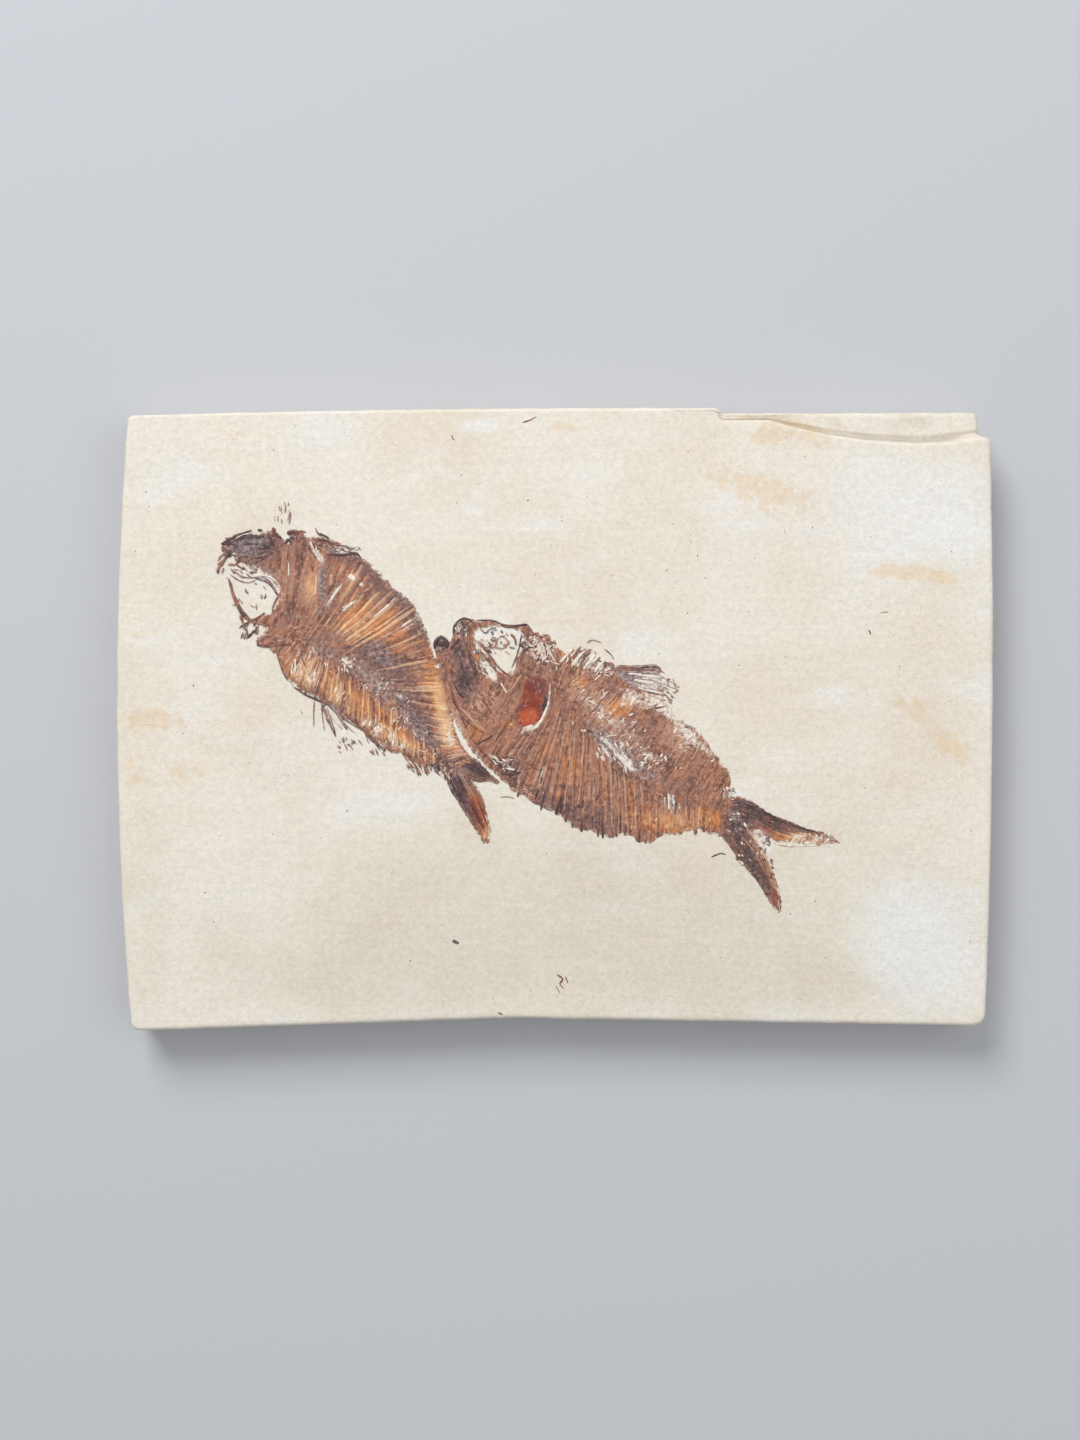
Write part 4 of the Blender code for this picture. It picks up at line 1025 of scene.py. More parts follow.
scraps = {
    "left": (
        (-54, 26.6, 3, 1.8, 22, 0.5, 0.13, -20, 40, "grey", "dark", "tan", "grey"),
        (-53, 21.6, 3.4, 3.2, 14, 0.4, 0.14, 60, 90, "grey", "tan"),
        (-53, 15.4, 1.9, 1.5, 14, 0.5, 0.16, 50, 60, "dark", "grey", "black"),
        (-53.2, 30.5, 4.2, 1.9, 50, 0.9, 0.22, 14, 22, "dark", "dark", "grey", "grey", "plain"),
        (-53.4, 28, 3.6, 1, 26, 0.6, 0.2, 20, 35, "dark", "plain", "dark", "black", "tan"),
        (-53, 29, 3.4, 0.8, 9, 0.4, 0.22, 0, 60, "pale", "tan"),
        (-48.8, 31.4, 0.8, 1, 8, 0.5, 0.25, 60, 30, "red", "dark", "plain"),
        (-44.4, 31.7, 1.2, 0.8, 12, 0.5, 0.28, 40, 50, "red", "red", "dark"),
        (-40.2, 30.4, 1.6, 0.8, 14, 0.5, 0.2, -30, 40, "red", "dark", "grey", "plain"),
        (-36.6, 29.6, 2.6, 0.6, 16, 0.5, 0.16, -12, 25, "pale", "grey", "dark"),
        (-36.2, -4.2, 2, 1, 12, 0.35, 0.16, -60, 40, "grey", "grey", "dark"),
        (-29, -5.4, 4, 0.7, 18, 0.5, 0.12, -65, 25, "dark", "plain", "grey"),
        (-22.4, -8.4, 3.2, 1, 34, 0.6, 0.13, -60, 22, "dark", "grey", "dark", "plain"),
        (-47, 35.4, 1.8, 2.2, 12, 0.45, 0.08, 90, 14, "grey"),
        (-18.6, -2.6, 1, 2.8, 20, 0.5, 0.28, 30, 40, "gold", "pale", "tan"),
        (-18.6, -8.6, 1.6, 1.6, 30, 0.5, 0.18, -60, 30, "dark", "black", "pale", "grey"),
        (-44.4, 21.4, 3.4, 7, 26, 0.9, 0.22, 86, 10, "plain", "dark", "plain", "tan"),
        (-46, 15, 3.6, 2.2, 40, 0.6, 0.17, 30, 50, "plain", "tan", "dark", "gold", "grey"),
        (-36.6, 9.4, 3.4, 1.5, 50, 0.4, 0.14, 70, 60, "grey", "pale", "dark", "plain"),
        (-31, 5.4, 3.4, 2, 90, 0.4, 0.13, 60, 40, "grey", "pale", "dark", "grey"),
        (-26, 1, 2.2, 3.2, 80, 0.4, 0.13, 60, 40, "grey", "pale", "dark", "plain"),
        (-22, -4.6, 1.6, 2.4, 40, 0.4, 0.14, 50, 40, "grey", "pale", "dark"),
        (-43.4, 8.4, 2.8, 2.2, 22, 1.1, 0.22, 88, 8, "pale", "gold", "gold", "tan"),
        (-37.6, 4.4, 1.5, 1.2, 14, 0.6, 0.22, 60, 20, "pale", "gold", "tan"),
        (-31.6, -1.4, 2.6, 1, 20, 0.5, 0.26, 80, 30, "pale", "gold", "tan"),
        (-26.4, -4.6, 2.2, 1, 16, 0.5, 0.22, 70, 30, "pale", "gold", "tan"),
        (-20, 3, 0.9, 3.4, 24, 0.7, 0.16, 0, 8, "pale", "gold", "tan"),
        (-24, 9, 4, 5, 26, 1, 0.12, 6, 12, "tan", "dark", "plain"),
    ),
    "right": (
        (-9.6, 13.4, 3.4, 2.4, 30, 0.4, 0.16, 40, 90, "grey", "tan", "grey", "dark"),
        (-12.4, 10.6, 1.9, 3.4, 34, 0.5, 0.2, -55, 30, "grey", "pale", "pale", "dark"),
        (-16, 15.8, 1.4, 1.4, 20, 0.45, 0.2, 60, 60, "black", "grey", "dark", "pale"),
        (-19.6, 12.9, 0.9, 0.9, 16, 0.5, 0.26, 60, 60, "black", "black", "grey"),
        (-15.8, 8, 1.8, 4, 34, 1, 0.24, -74, 12, "dark", "plain", "dark", "grey"),
        (-13.6, 9.4, 0.6, 1.8, 8, 0.8, 0.24, -60, 12, "rust", "tan"),
        (-17.8, 4, 1, 4, 18, 1, 0.16, -68, 10, "tan", "dark", "plain"),
        (-11.6, 1.4, 3, 3.6, 40, 0.9, 0.2, -48, 25, "plain", "tan", "dark", "gold", "dark"),
        (-8.4, 0.6, 2.6, 2.6, 20, 0.4, 0.26, 50, 60, "gold", "tan", "dark", "rust"),
        (-7.6, 3.4, 1.3, 3, 20, 0.8, 0.18, 58, 14, "plain", "dark", "tan"),
        (-3.7, 4.6, 1.3, 1.6, 14, 0.6, 0.13, 70, 30, "red", "red", "dark"),
        (-2.4, 12.2, 2.8, 2.8, 120, 0.45, 0.22, 60, 70,
         "pale", "dark", "black", "tan", "dark", "gold", "plain"),
        (-5.6, 10.4, 1.2, 3, 22, 0.5, 0.17, 65, 25, "dark", "tan", "plain"),
        (4.4, 10.6, 2.8, 1.3, 26, 0.9, 0.26, 46, 8, "pale", "pale", "dark", "grey", "dark"),
        (8.6, 8.8, 2, 1.2, 20, 0.5, 0.2, 46, 30, "pale", "dark", "grey"),
        (20.2, 5.2, 1.2, 2.2, 18, 0.35, 0.1, -25, 50, "grey", "grey", "plain"),
        (31.4, -17.6, 2, 2.6, 46, 0.4, 0.2, -40, 40, "black", "dark", "pale", "plain"),
        (33.6, -23, 2.2, 2.8, 50, 0.4, 0.18, -52, 35, "black", "pale", "plain", "dark"),
        (36.9, -26, 0.9, 2.6, 22, 0.35, 0.2, -52, 35, "black", "plain", "dark"),
        (36, -21.4, 1.4, 1.6, 20, 0.35, 0.2, -40, 60, "grey", "pale", "dark"),
        (36.2, -17.8, 2.2, 0.9, 20, 0.6, 0.2, -28, 20, "black", "red", "dark"),
        (43.6, -20.5, 4.6, 1, 48, 0.4, 0.2, 66, 16, "pale", "dark", "rust", "gold", "tan", "pale"),
        (-9, -7.6, 2.4, 1.2, 36, 0.5, 0.2, -25, 28, "pale", "dark", "red", "grey", "black"),
        (-4.4, -12, 3.2, 1.5, 34, 0.4, 0.2, -50, 50, "dark", "plain", "tan", "gold"),
        (19.9, -14.3, 1, 1.1, 9, 0.3, 0.14, 70, 60, "pale", "grey"),
        (10.4, -5.8, 3.4, 1.6, 44, 0.7, 0.2, -70, 14, "pale", "grey", "pale", "dark"),
        (6.6, -0.4, 4, 2.6, 90, 0.4, 0.18, 40, 50, "pale", "tan", "dark", "grey", "dark"),
        (6.4, 5.4, 4.4, 2.4, 70, 0.5, 0.17, 50, 40, "pale", "dark", "rust", "dark", "plain", "gold"),
        (13.8, -2.6, 4.4, 3.4, 110, 0.5, 0.18, 50, 35, "pale", "tan", "grey", "dark", "dark", "plain"),
        (12.6, 3.4, 1.4, 1, 9, 0.9, 0.22, 54, 8, "pale", "gold", "pale"),
        (22.4, -3, 2, 2.6, 36, 0.4, 0.16, 30, 60, "pale", "tan", "grey", "dark"),
        (18, -7.6, 5, 1.6, 60, 0.45, 0.15, 60, 50, "pale", "grey", "tan", "dark"),
        (30.4, -12.8, 1.4, 1, 14, 0.4, 0.14, -50, 40, "pale", "grey"),
        (20, -18.2, 7, 1.6, 40, 0.5, 0.22, 80, 20, "rust", "gold", "plain", "rust"),
    ),
    "lengthRange": (0.5, 1.4), "widthRange": (0.5, 1.3), "height": 0.07, "seat": 0.03,
}


def makeScraps(fish, material):
    random.seed(fish["seed"] + 4)
    bones = []
    for x, y, long, high, count, length, width, turn, spread, *tones in scraps[fish["name"]]:
        for _ in range(count):
            far, bearing = math.sqrt(random.random()), random.uniform(0, 2 * math.pi)
            spotX, spotY = x + long * far * math.cos(bearing), y + high * far * math.sin(bearing)
            heading = math.radians(turn + random.uniform(-spread, spread))
            half = length * random.uniform(*scraps["lengthRange"])
            stepX, stepY = half * math.cos(heading), half * math.sin(heading)
            ends = (spotX - stepX, spotY - stepY), (spotX + stepX, spotY + stepY)
            bones.append(newBone(ends, width * random.uniform(*scraps["widthRange"]), rings=3,
                                 tone=random.choice(tones), height=scraps["height"], seat=scraps["seat"]))
    makeBones(fish["name"] + "Scraps", fish, bones, material)


def makeSkull(fish, material):
    bones = [newBone(points, skull["stout"] * width, endWidth=endWidth, tone=tone, seat=skull["seat"],
                     height=min(skull["heightMost"], width * skull["heightShare"]))
             for points, width, endWidth, tone in boneRows(skull[fish["name"]])]
    makeBones(fish["name"] + "Skull", fish, bones, material)


# Fins. A lobe lies between its leading and its trailing edge.

lobes = {
    "rightDorsalFin": {
        "leading": ((9.8, 9.2), (12, 9.3), (14, 9.2), (16, 9.5), (17.6, 9.4), (18.4, 8.9)),
        "trailing": ((12, 6.4), (14, 5.2), (15.6, 4.4), (17.2, 3.8), (18.6, 3.6), (19.8, 3.6)),
        "rays": 10, "columns": 56, "rows": 34, "fade": 1.3, "seed": 47,
        "plum": ((12.4, 8.6, 2.6, 0.8, 0, 0.5),), "rust": (), "pale": ((16.5, 6.4, 3.4, 2.6, 0, 0.6),),
        "blush": ((17, 5, 2.4, 0.8, -10, 0.3),), "light": (), "ash": ((14.8, 7.2, 5.6, 3.2, -20, 1),),
    },
    "leftTailLobe": {
        "leading": (
            (-19.4, -8.4), (-18.9, -10.6), (-18, -12.6), (-17, -14.1), (-16, -15.8), (-15, -17.4),
            (-14, -19), (-13.2, -20.2), (-12.5, -21.6),
        ),
        "trailing": (
            (-15.4, -7.4), (-14.6, -10), (-13.4, -11.8), (-12.6, -13.4), (-12, -14.9), (-11.6, -16.6),
            (-11.1, -18.4), (-10.9, -20), (-11.3, -21.4),
        ),
        "rays": 13, "columns": 78, "rows": 32, "fade": 0.9, "seed": 31,
        "plum": (
            (-17, -13, 1.6, 4.4, 30, 1), (-16, -10.6, 3, 1.6, 0, 0.8), (-15.4, -16.2, 0.7, 3.2, 28, 0.4),
        ),
        "rust": ((-12.4, -19, 1.1, 2.6, 15, 0.6), (-13, -15.4, 0.9, 3, 22, 0.6)),
        "pale": ((-11.6, -14.6, 0.6, 3, 20, 0.4),), "blush": ((-13.2, -16, 1.6, 4.5, 25, 0.8),),
        "light": ((-12, -19.6, 0.8, 1.4, 0, 0.5),), "ash": ((-17, -9.6, 2, 1.6, 0, 0.5),),
    },
    "leftTailStub": {
        "leading": ((-18, -5.6), (-15.6, -6.2), (-13.6, -6.9), (-12.2, -8.2), (-10.8, -9.8), (-9.7, -11)),
        "trailing": (
            (-18.4, -10), (-16.4, -10.2), (-14.4, -10.6), (-13, -10.9), (-11.5, -10.7), (-10.2, -11.3),
        ),
        "rays": 9, "columns": 44, "rows": 22, "fade": 0.3, "seed": 37,
        "plum": ((-14, -8.6, 4.5, 2.2, -30, 1),), "rust": (), "pale": ((-16.6, -9.6, 1.6, 0.7, 0, 0.6),),
        "blush": (), "light": (), "ash": ((-16.6, -8.6, 2.2, 1.4, 0, 0.5),),
    },
    "rightTailUpper": {
        "leading": (
            (28.6, -14), (30.4, -13.6), (32.2, -13.3), (34, -14.1), (36, -15.4), (38, -16.5), (40.5, -17.6),
            (42.4, -18.4), (44, -18.9), (45.8, -19.5), (47.4, -20), (48.6, -20.7), (49.4, -21.4),
        ),
        "trailing": (
            (28.8, -19.8), (31.4, -20.2), (33.2, -19.9), (35, -19.9), (36.6, -20.5), (38.3, -21.7),
            (40, -22), (41.6, -22.2), (43.4, -22.2), (45, -22), (46.4, -21.8), (47.8, -21.6), (49.2, -21.6),
        ),
        "rays": 17, "columns": 100, "rows": 36, "fade": 1.02, "seed": 41,
        "plum": (
            (32.5, -16.6, 3.4, 3.2, -20, 1), (37, -17.3, 5.2, 1.7, -27, 1),
            (42.6, -18.8, 5.2, 0.6, -20, 0.95),
        ),
        "rust": ((39.8, -20.3, 2.4, 1.2, -14, 0.95), (44.5, -20.9, 4.4, 1.1, -12, 0.45)),
        "pale": (
            (42.6, -21.8, 6.6, 0.9, -4, 0.75), (42.8, -20.5, 2.8, 0.7, -14, 0.55),
            (46.2, -20.9, 1.8, 0.7, -20, 0.6), (31.6, -16.8, 1.2, 1.2, 0, 0.6),
            (35.4, -19.8, 1.8, 0.8, -30, 0.7),
        ),
        "blush": ((36.8, -18.9, 2.8, 1.2, -25, 0.5), (46.5, -21, 3, 0.8, -15, 0.25)),
        "light": ((44.2, -20.9, 5, 1.3, -12, 1), (36, -19.8, 2, 1, -20, 0.5)),
        "ash": ((31.8, -18.4, 1.8, 1.8, 0, 0.4),),
    },
    "rightTailLower": {
        "leading": (
            (27.8, -18.6), (29.2, -20.6), (30.5, -22.4), (31.6, -23.8), (32.6, -25.2), (33.6, -26.4),
            (34.6, -27.5), (35.4, -28.6), (36.2, -30), (37.1, -31.5), (38, -32.7), (38.8, -33.5),
        ),
        "trailing": (
            (32.4, -16.8), (34.3, -19.2), (35.9, -21.2), (36.9, -22.6), (37.4, -24), (37.8, -25.5),
            (38.2, -26.9), (38.6, -28.4), (39, -29.8), (39.3, -31.2), (39.4, -32.3), (39.2, -33.3),
        ),
        "rays": 14, "columns": 84, "rows": 34, "fade": 0.6, "seed": 43,
        "plum": (
            (31.4, -19.4, 3.6, 3, -50, 1), (33.4, -23.8, 4, 2.2, -50, 1), (36, -28.2, 4.2, 1.4, -58, 0.85),
        ),
        "rust": ((37.6, -29.6, 2.2, 0.9, -65, 0.3),),
        "pale": ((35.8, -21.6, 1.2, 2.8, 30, 0.7), (37.9, -25.6, 0.7, 2.4, 22, 0.6)),
        "blush": ((38, -30.6, 3, 1.2, -62, 0.6),), "light": ((36.2, -22.8, 0.9, 2.6, 28, 0.6),),
        "ash": ((32.6, -19, 2, 1.8, 0, 0.4),),
    },
}


lobeForm = {
    "edgeSteps": 120,
    "sideMargin": 0.25, "tipMargin": 0.2,
    # the splits between the rays: bumps to the mm outwards and to the ray across, then those in place
    "splitOut": 0.25, "splitOver": 0.8, "splitFine": 0.8, "splitFineScale": 1.2,
    # how fast the lobe frays: more to the tip and to the trailing edge
    "rootFray": 0.3, "leadingFray": 0.2, "fray": 0.35, "fraySplit": 0.9, "frayLeast": 0.12,
    "rayMm": 0.9,        # the distance between rays that the stripes are drawn for
    "jitter": (-0.2, 0.2), "reach": (0.8, 1.0), "fadeReach": 0.35, "rootGap": (0.0, 0.08),
    "lost": 0.75,        # in a much faded lobe the rays past this share are gone
    "middle": 0.48, "spread": 0.84, "tipSpread": 0.06,
    "ray": {"endWidth": 0.06, "height": 0.1}, "width": (0.09, 0.15),
    "darkShare": 0.6, "darkTones": ("dark", "plain", "dark", "black"),
    "tones": ("plain", "tan", "gold", "plain"),
}


def lobePoints(lobe, out, over):
    # out from root 0 to tip 1, over from the leading edge 0 to the trailing edge 1
    over = np.asarray(over).reshape(-1, 1)
    leading = evenly(spline(lobe["leading"], lobeForm["edgeSteps"]), np.clip(out, 0, 1))
    trailing = evenly(spline(lobe["trailing"], lobeForm["edgeSteps"]), np.clip(out, 0, 1))
    return leading * (1 - over) + trailing * over, np.linalg.norm(trailing - leading, axis=1)


def makeLobe(name, skinMaterial, boneMaterial):
    lobe = lobes[name]
    shape = bmesh.new()
    bmesh.ops.create_grid(shape, x_segments=lobe["columns"], y_segments=lobe["rows"], size=1.0)
    grid = np.array([vert.co[:2] for vert in shape.verts])
    out, over = (grid[:, 0] + 1) / 2, (grid[:, 1] + 1) / 2
    places, width = lobePoints(lobe, out, over)
    x, y = places[:, 0], places[:, 1]
    length = lengthsAlong(np.array(lobe["leading"]))[-1]
    gap = np.minimum(np.minimum(over, 1 - over) * width + lobeForm["sideMargin"],
                     (1 - out) * length + lobeForm["tipMargin"])
    split = roughness(out * length * lobeForm["splitOut"], over * lobe["rays"] * lobeForm["splitOver"],
                      1.0, lobe["seed"])
    split += lobeForm["splitFine"] * roughness(x, y, lobeForm["splitFineScale"], lobe["seed"] + 2)
    least = lobeForm["frayLeast"] * lobe["fade"]
    fray = np.maximum(lobeForm["fray"] + lobeForm["fraySplit"] * split, least)
    gap -= lobe["fade"] * (lobeForm["rootFray"] + out) * fray * (lobeForm["leadingFray"] + over)
    measure = np.stack([over * lobe["rays"] * lobeForm["rayMm"], out * length, np.zeros(len(x))], axis=1)
    lift = skinLift(x, y, gap, measure, (), lobe["seed"], skin["lobeRagged"])
    for vert, spotX, spotY, level in zip(shape.verts, x, y, stoneHeight(x, y) + lift):
        vert.co = (spotX, spotY, level)
    finishSkin(shape, lift, name, lobe, measure, skinMaterial)
    random.seed(lobe["seed"])
    rays = []
    for index in range(lobe["rays"]):
        share = (index + 0.5 + random.uniform(*lobeForm["jitter"])) / lobe["rays"]
        reach = random.uniform(*lobeForm["reach"])
        reach -= lobeForm["fadeReach"] * lobe["fade"] * share * random.random()
        if lobe["fade"] > 1 and share > lobeForm["lost"]:
            continue
        along = np.linspace(random.uniform(*lobeForm["rootGap"]), reach, 7)
        spread = lobeForm["spread"] + lobeForm["tipSpread"] * along
        ray, _ = lobePoints(lobe, along, lobeForm["middle"] + (share - 0.5) * spread)
        tone = random.choice(lobeForm["darkTones" if share < lobeForm["darkShare"] else "tones"])
        rays.append(newBone(ray, random.uniform(*lobeForm["width"]), tone=tone, **lobeForm["ray"]))
    makeBones(name + "Rays", lobe, rays, boneMaterial)


finRays = {
    "leftDorsalRays": (leftFish, (
        ("grey", 0.11, 0.06, -41.9, 3.2, -41.9, 0.8, -41.8, -1.4),
        ("grey", 0.1, 0.05, -40.5, 2.7, -40.3, 0.4, -40, -2),
        ("grey", 0.08, 0.05, -39.9, 2.3, -39.3, 0.2, -38.8, -1.6),
        ("grey", 0.3, 0.14, -40.2, 2.2, -39.4, 0, -38.7, -1.6, -38.1, -2.9),
        ("grey", 0.4, 0.3, -40.5, 2.9, -39.9, 2.2), ("dark", 0.13, 0.06, -39.5, 1.9, -38.6, -0.8, -38, -3),
        ("pale", 0.1, 0.26, -40, 2.2, -38.6, 0.4, -36.9, -1.6),
        ("grey", 0.4, 0.24, -39.4, 2.9, -37.8, 1.1, -36.9, -0.3, -36.1, -1.7),
        ("dark", 0.16, 0.1, -38.9, 2.2, -37.4, 0.4, -36, -1.6),
        ("grey", 0.1, 0.06, -37.9, 0.9, -36.2, -1, -34.6, -2.4),
        ("grey", 0.09, 0.07, -36.6, -4.2, -36, -5.4), ("grey", 0.09, 0.07, -35.6, -4.4, -35, -5.2),
        ("grey", 0.09, 0.07, -34.2, -3.6, -33.4, -4.4), ("grey", 0.08, 0.06, -37.6, -5.4, -37.1, -5.9),
        ("dark", 0.1, 0.06, -33, -2.4, -32.2, -4.2), ("dark", 0.1, 0.06, -31.4, -3.8, -30.4, -5.4),
        ("dark", 0.08, 0.05, -26.4, -6.2, -25.2, -7.8, -24.6, -9),
        ("dark", 0.08, 0.05, -25, -7, -24.2, -8.4, -24, -9.2), ("dark", 0.08, 0.05, -23.6, -7.6, -23, -9.2),
        ("dark", 0.08, 0.05, -22.4, -7.8, -21.8, -9.4), ("dark", 0.1, 0.05, -21.4, -7.6, -20.4, -9.4),
        ("dark", 0.1, 0.05, -20.6, -7.8, -19.6, -9.8),
    )),
    "rightDorsalRays": (rightFish, (
        ("grey", 0.34, 0.2, 10.4, 9, 12, 9.2, 14, 9.1, 16, 9.3, 17.6, 9.2, 18.2, 8.8),
        ("dark", 0.42, 0.16, 10.8, 8.8, 11.6, 8.6, 13, 8.7, 15.4, 8.7, 17.6, 8.5),
        ("pale", 0.24, 0.34, 12.4, 8, 14, 7.9, 16, 7.6, 18.2, 7.3),
        ("pale", 0.26, 0.36, 13.4, 7, 15.4, 6.6, 17, 6.2, 18.6, 5.8),
        ("pale", 0.22, 0.3, 14.2, 5.7, 15.8, 5.2, 17.4, 4.8, 18.8, 4.5),
        ("grey", 0.2, 0.14, 11, 8.3, 13, 8.3, 15, 8.2, 18.2, 7.8),
        ("dark", 0.14, 0.08, 11.4, 7.9, 14, 7.6, 16.4, 7.4, 18.4, 7.2),
        ("grey", 0.15, 0.08, 12, 7.5, 14, 7.2, 16, 6.9, 18.5, 6.5),
        ("dark", 0.14, 0.08, 12.5, 6.7, 14.4, 6.4, 16, 6.1, 18.2, 5.9),
        ("grey", 0.13, 0.08, 13.5, 5.9, 15.2, 5.5, 17, 5.2, 19, 5),
        ("dark", 0.12, 0.07, 14.6, 5.2, 16.4, 4.7, 18.2, 4.3),
        ("tan", 0.11, 0.07, 15.6, 4.6, 17.4, 3.9, 19.2, 3.4),
        ("grey", 0.06, 0.05, 18.6, 7.6, 19.6, 6.8, 20.6, 6.4),
        ("grey", 0.06, 0.05, 18.8, 6.4, 20, 5.6, 21.4, 5.2),
        ("grey", 0.06, 0.05, 19.2, 5.2, 20.2, 4.2, 20.9, 3.6), ("grey", 0.06, 0.05, 19.4, 4.2, 20.2, 3),
        ("grey", 0.07, 0.05, 18.4, 8.4, 19, 8),
    )),
}


def makeFinRays(name, material):
    fish, rays = finRays[name]
    bones = [newBone(points, width, endWidth=endWidth, tone=tone)
             for points, width, endWidth, tone in boneRows(rays)]
    makeBones(name, fish, bones, material)


# Marks on the bare stone.

marks = {
    "fish": {name: () for name in toneNames},
    "list": (        # tone, half width, half width at the end, points
        ("dark", 0.16, 0.1, -17.9, 49.2, -17.7, 48.6, -17.4, 48.4),
        ("black", 0.24, 0.2, -17.8, -38.4, -17.2, -38.7, -16.7, -38.9),
        ("black", 0.12, 0.1, 27, -23.9, 28, -23.5, 28.8, -23.3, 29.6, -23.5),
        ("red", 0.12, 0.08, 54.5, 15.6, 54.8, 14.8), ("grey", 0.08, 0.06, 56.4, 18.5, 57.8, 18.7),
        ("red", 0.14, 0.1, 0.4, -44.2, 1.4, -45, 0.8, -46, 1.6, -46.8),
        ("red", 0.1, 0.08, 1.9, -44.6, 2.2, -45.8), ("red", 0.08, 0.06, 0.2, -46.4, 0.9, -47.6),
        ("red", 0.12, 0.1, -9.9, -51, -9.1, -51.2), ("red", 0.12, 0.06, -5.6, 51.6, -4.3, 52, -3.2, 52.6),
        ("dark", 0.09, 0.07, -9.5, -13.5, -8.2, -13.5, -7, -13.7),
        ("dark", 0.09, 0.07, -7, -12.5, -6.3, -12.7, -5.6, -13.1),
        ("grey", 0.07, 0.05, -47.6, 37, -47.4, 35.6), ("grey", 0.07, 0.05, -46.2, 36.4, -45.9, 34.8),
        ("grey", 0.06, 0.05, -48.6, 35.4, -48.5, 34.4), ("dark", 0.07, 0.06, -44.2, 1.4, -43.8, 1),
    ),
    "seat": -0.08, "height": 0.08,
    "grains": {        # dark mineral scattered through the stone, clear of the fish and the lip
        "seed": 77, "total": 110, "x": (-73, 73), "y": (-51, 52), "lipClear": 1, "swellMost": 0.01,
        "length": (0.1, 0.35), "width": (0.04, 0.1), "height": 0.05, "seat": -0.09,
        "tones": ("plain", "dark", "grey", "red"),
    },
}


def makeMarks(material):
    bones = [newBone(points, width, endWidth=endWidth, tone=tone, seat=marks["seat"],
                     height=marks["height"])
             for points, width, endWidth, tone in boneRows(marks["list"])]
    grains = marks["grains"]
    random.seed(grains["seed"])
    while len(bones) < grains["total"]:
        x, y = random.uniform(*grains["x"]), random.uniform(*grains["y"])
        spotX, spotY = np.array([x]), np.array([y])
        bare = swellUnder(spotX, spotY)[0] < grains["swellMost"]
        if bare and y < lipHeight(spotX)[0] - grains["lipClear"]:
            length, turn = random.uniform(*grains["length"]), random.uniform(0, math.pi)
            tip = (x + length * math.cos(turn), y + length * math.sin(turn))
            bones.append(newBone(((x, y), tip), random.uniform(*grains["width"]), height=grains["height"],
                                 seat=grains["seat"], tone=random.choice(grains["tones"])))
    makeBones("stoneMarks", marks["fish"], bones, material)


# Materials.

def addNode(tree, kind, inputs=None, **settings):
    made = tree.nodes.new(kind)
    for name, value in settings.items():
        setattr(made, name, value)
    for key, value in (inputs or {}).items():
        if isinstance(value, bpy.types.NodeSocket):
            tree.links.new(value, made.inputs[key])
        else:
            made.inputs[key].default_value = value
    return made


def mixed(tree, amount, first, second, blend="MIX"):
    inputs = {0: amount, 6: first, 7: second}
    return addNode(tree, "ShaderNodeMix", inputs, data_type="RGBA", blend_type=blend).outputs[2]


def reckon(tree, operation, first, second=0.0, third=0.0):
    inputs = {0: first, 1: second, 2: third}
    return addNode(tree, "ShaderNodeMath", inputs, operation=operation).outputs[0]


def remapped(tree, value, low, high, toLow=0.0, toHigh=1.0):
    inputs = {"Value": value, "From Min": low, "From Max": high, "To Min": toLow, "To Max": toHigh}
    return addNode(tree, "ShaderNodeMapRange", inputs, interpolation_type="SMOOTHSTEP").outputs[0]


def noiseOver(tree, place, scale, detail=2.0, rough=0.5, twist=0.0):
    inputs = {"Vector": place, "Scale": scale, "Detail": detail, "Roughness": rough, "Distortion": twist}
    return addNode(tree, "ShaderNodeTexNoise", inputs).outputs[0]


def stretched(tree, place, scale):
    return addNode(tree, "ShaderNodeMapping", {"Vector": place, "Scale": scale}).outputs[0]


def placeInMm(tree, stretch=(1.0, 1.0, 1.0)):
    # Object coordinates in mm, stretched along an axis where a pattern runs that way
    spot = addNode(tree, "ShaderNodeTexCoord").outputs["Object"]
    return stretched(tree, spot, tuple(value / mm for value in stretch))


def shaded(tree, colour, shade):
    # a colour made lighter or darker by a grey shade
    grey = addNode(tree, "ShaderNodeCombineColor", {0: shade, 1: shade, 2: shade}).outputs[0]
    return mixed(tree, 1.0, colour, grey, "MULTIPLY")


def painted(tree, name):
    # the three channels of a colour attribute
    colour = addNode(tree, "ShaderNodeAttribute", attribute_name=name).outputs["Color"]
    parts = addNode(tree, "ShaderNodeSeparateColor", {"Color": colour})
    return parts.outputs[0], parts.outputs[1], parts.outputs[2]


def newGroup(name, ins, outs):
    group = bpy.data.node_groups.new(name, "ShaderNodeTree")
    for label, kind, value in ins:
        socket = group.interface.new_socket(label, in_out="INPUT", socket_type=kind)
        if value is not None:
            socket.default_value = value
    for label, kind in outs:
        group.interface.new_socket(label, in_out="OUTPUT", socket_type=kind)
    return group, group.nodes.new("NodeGroupInput").outputs, group.nodes.new("NodeGroupOutput").inputs


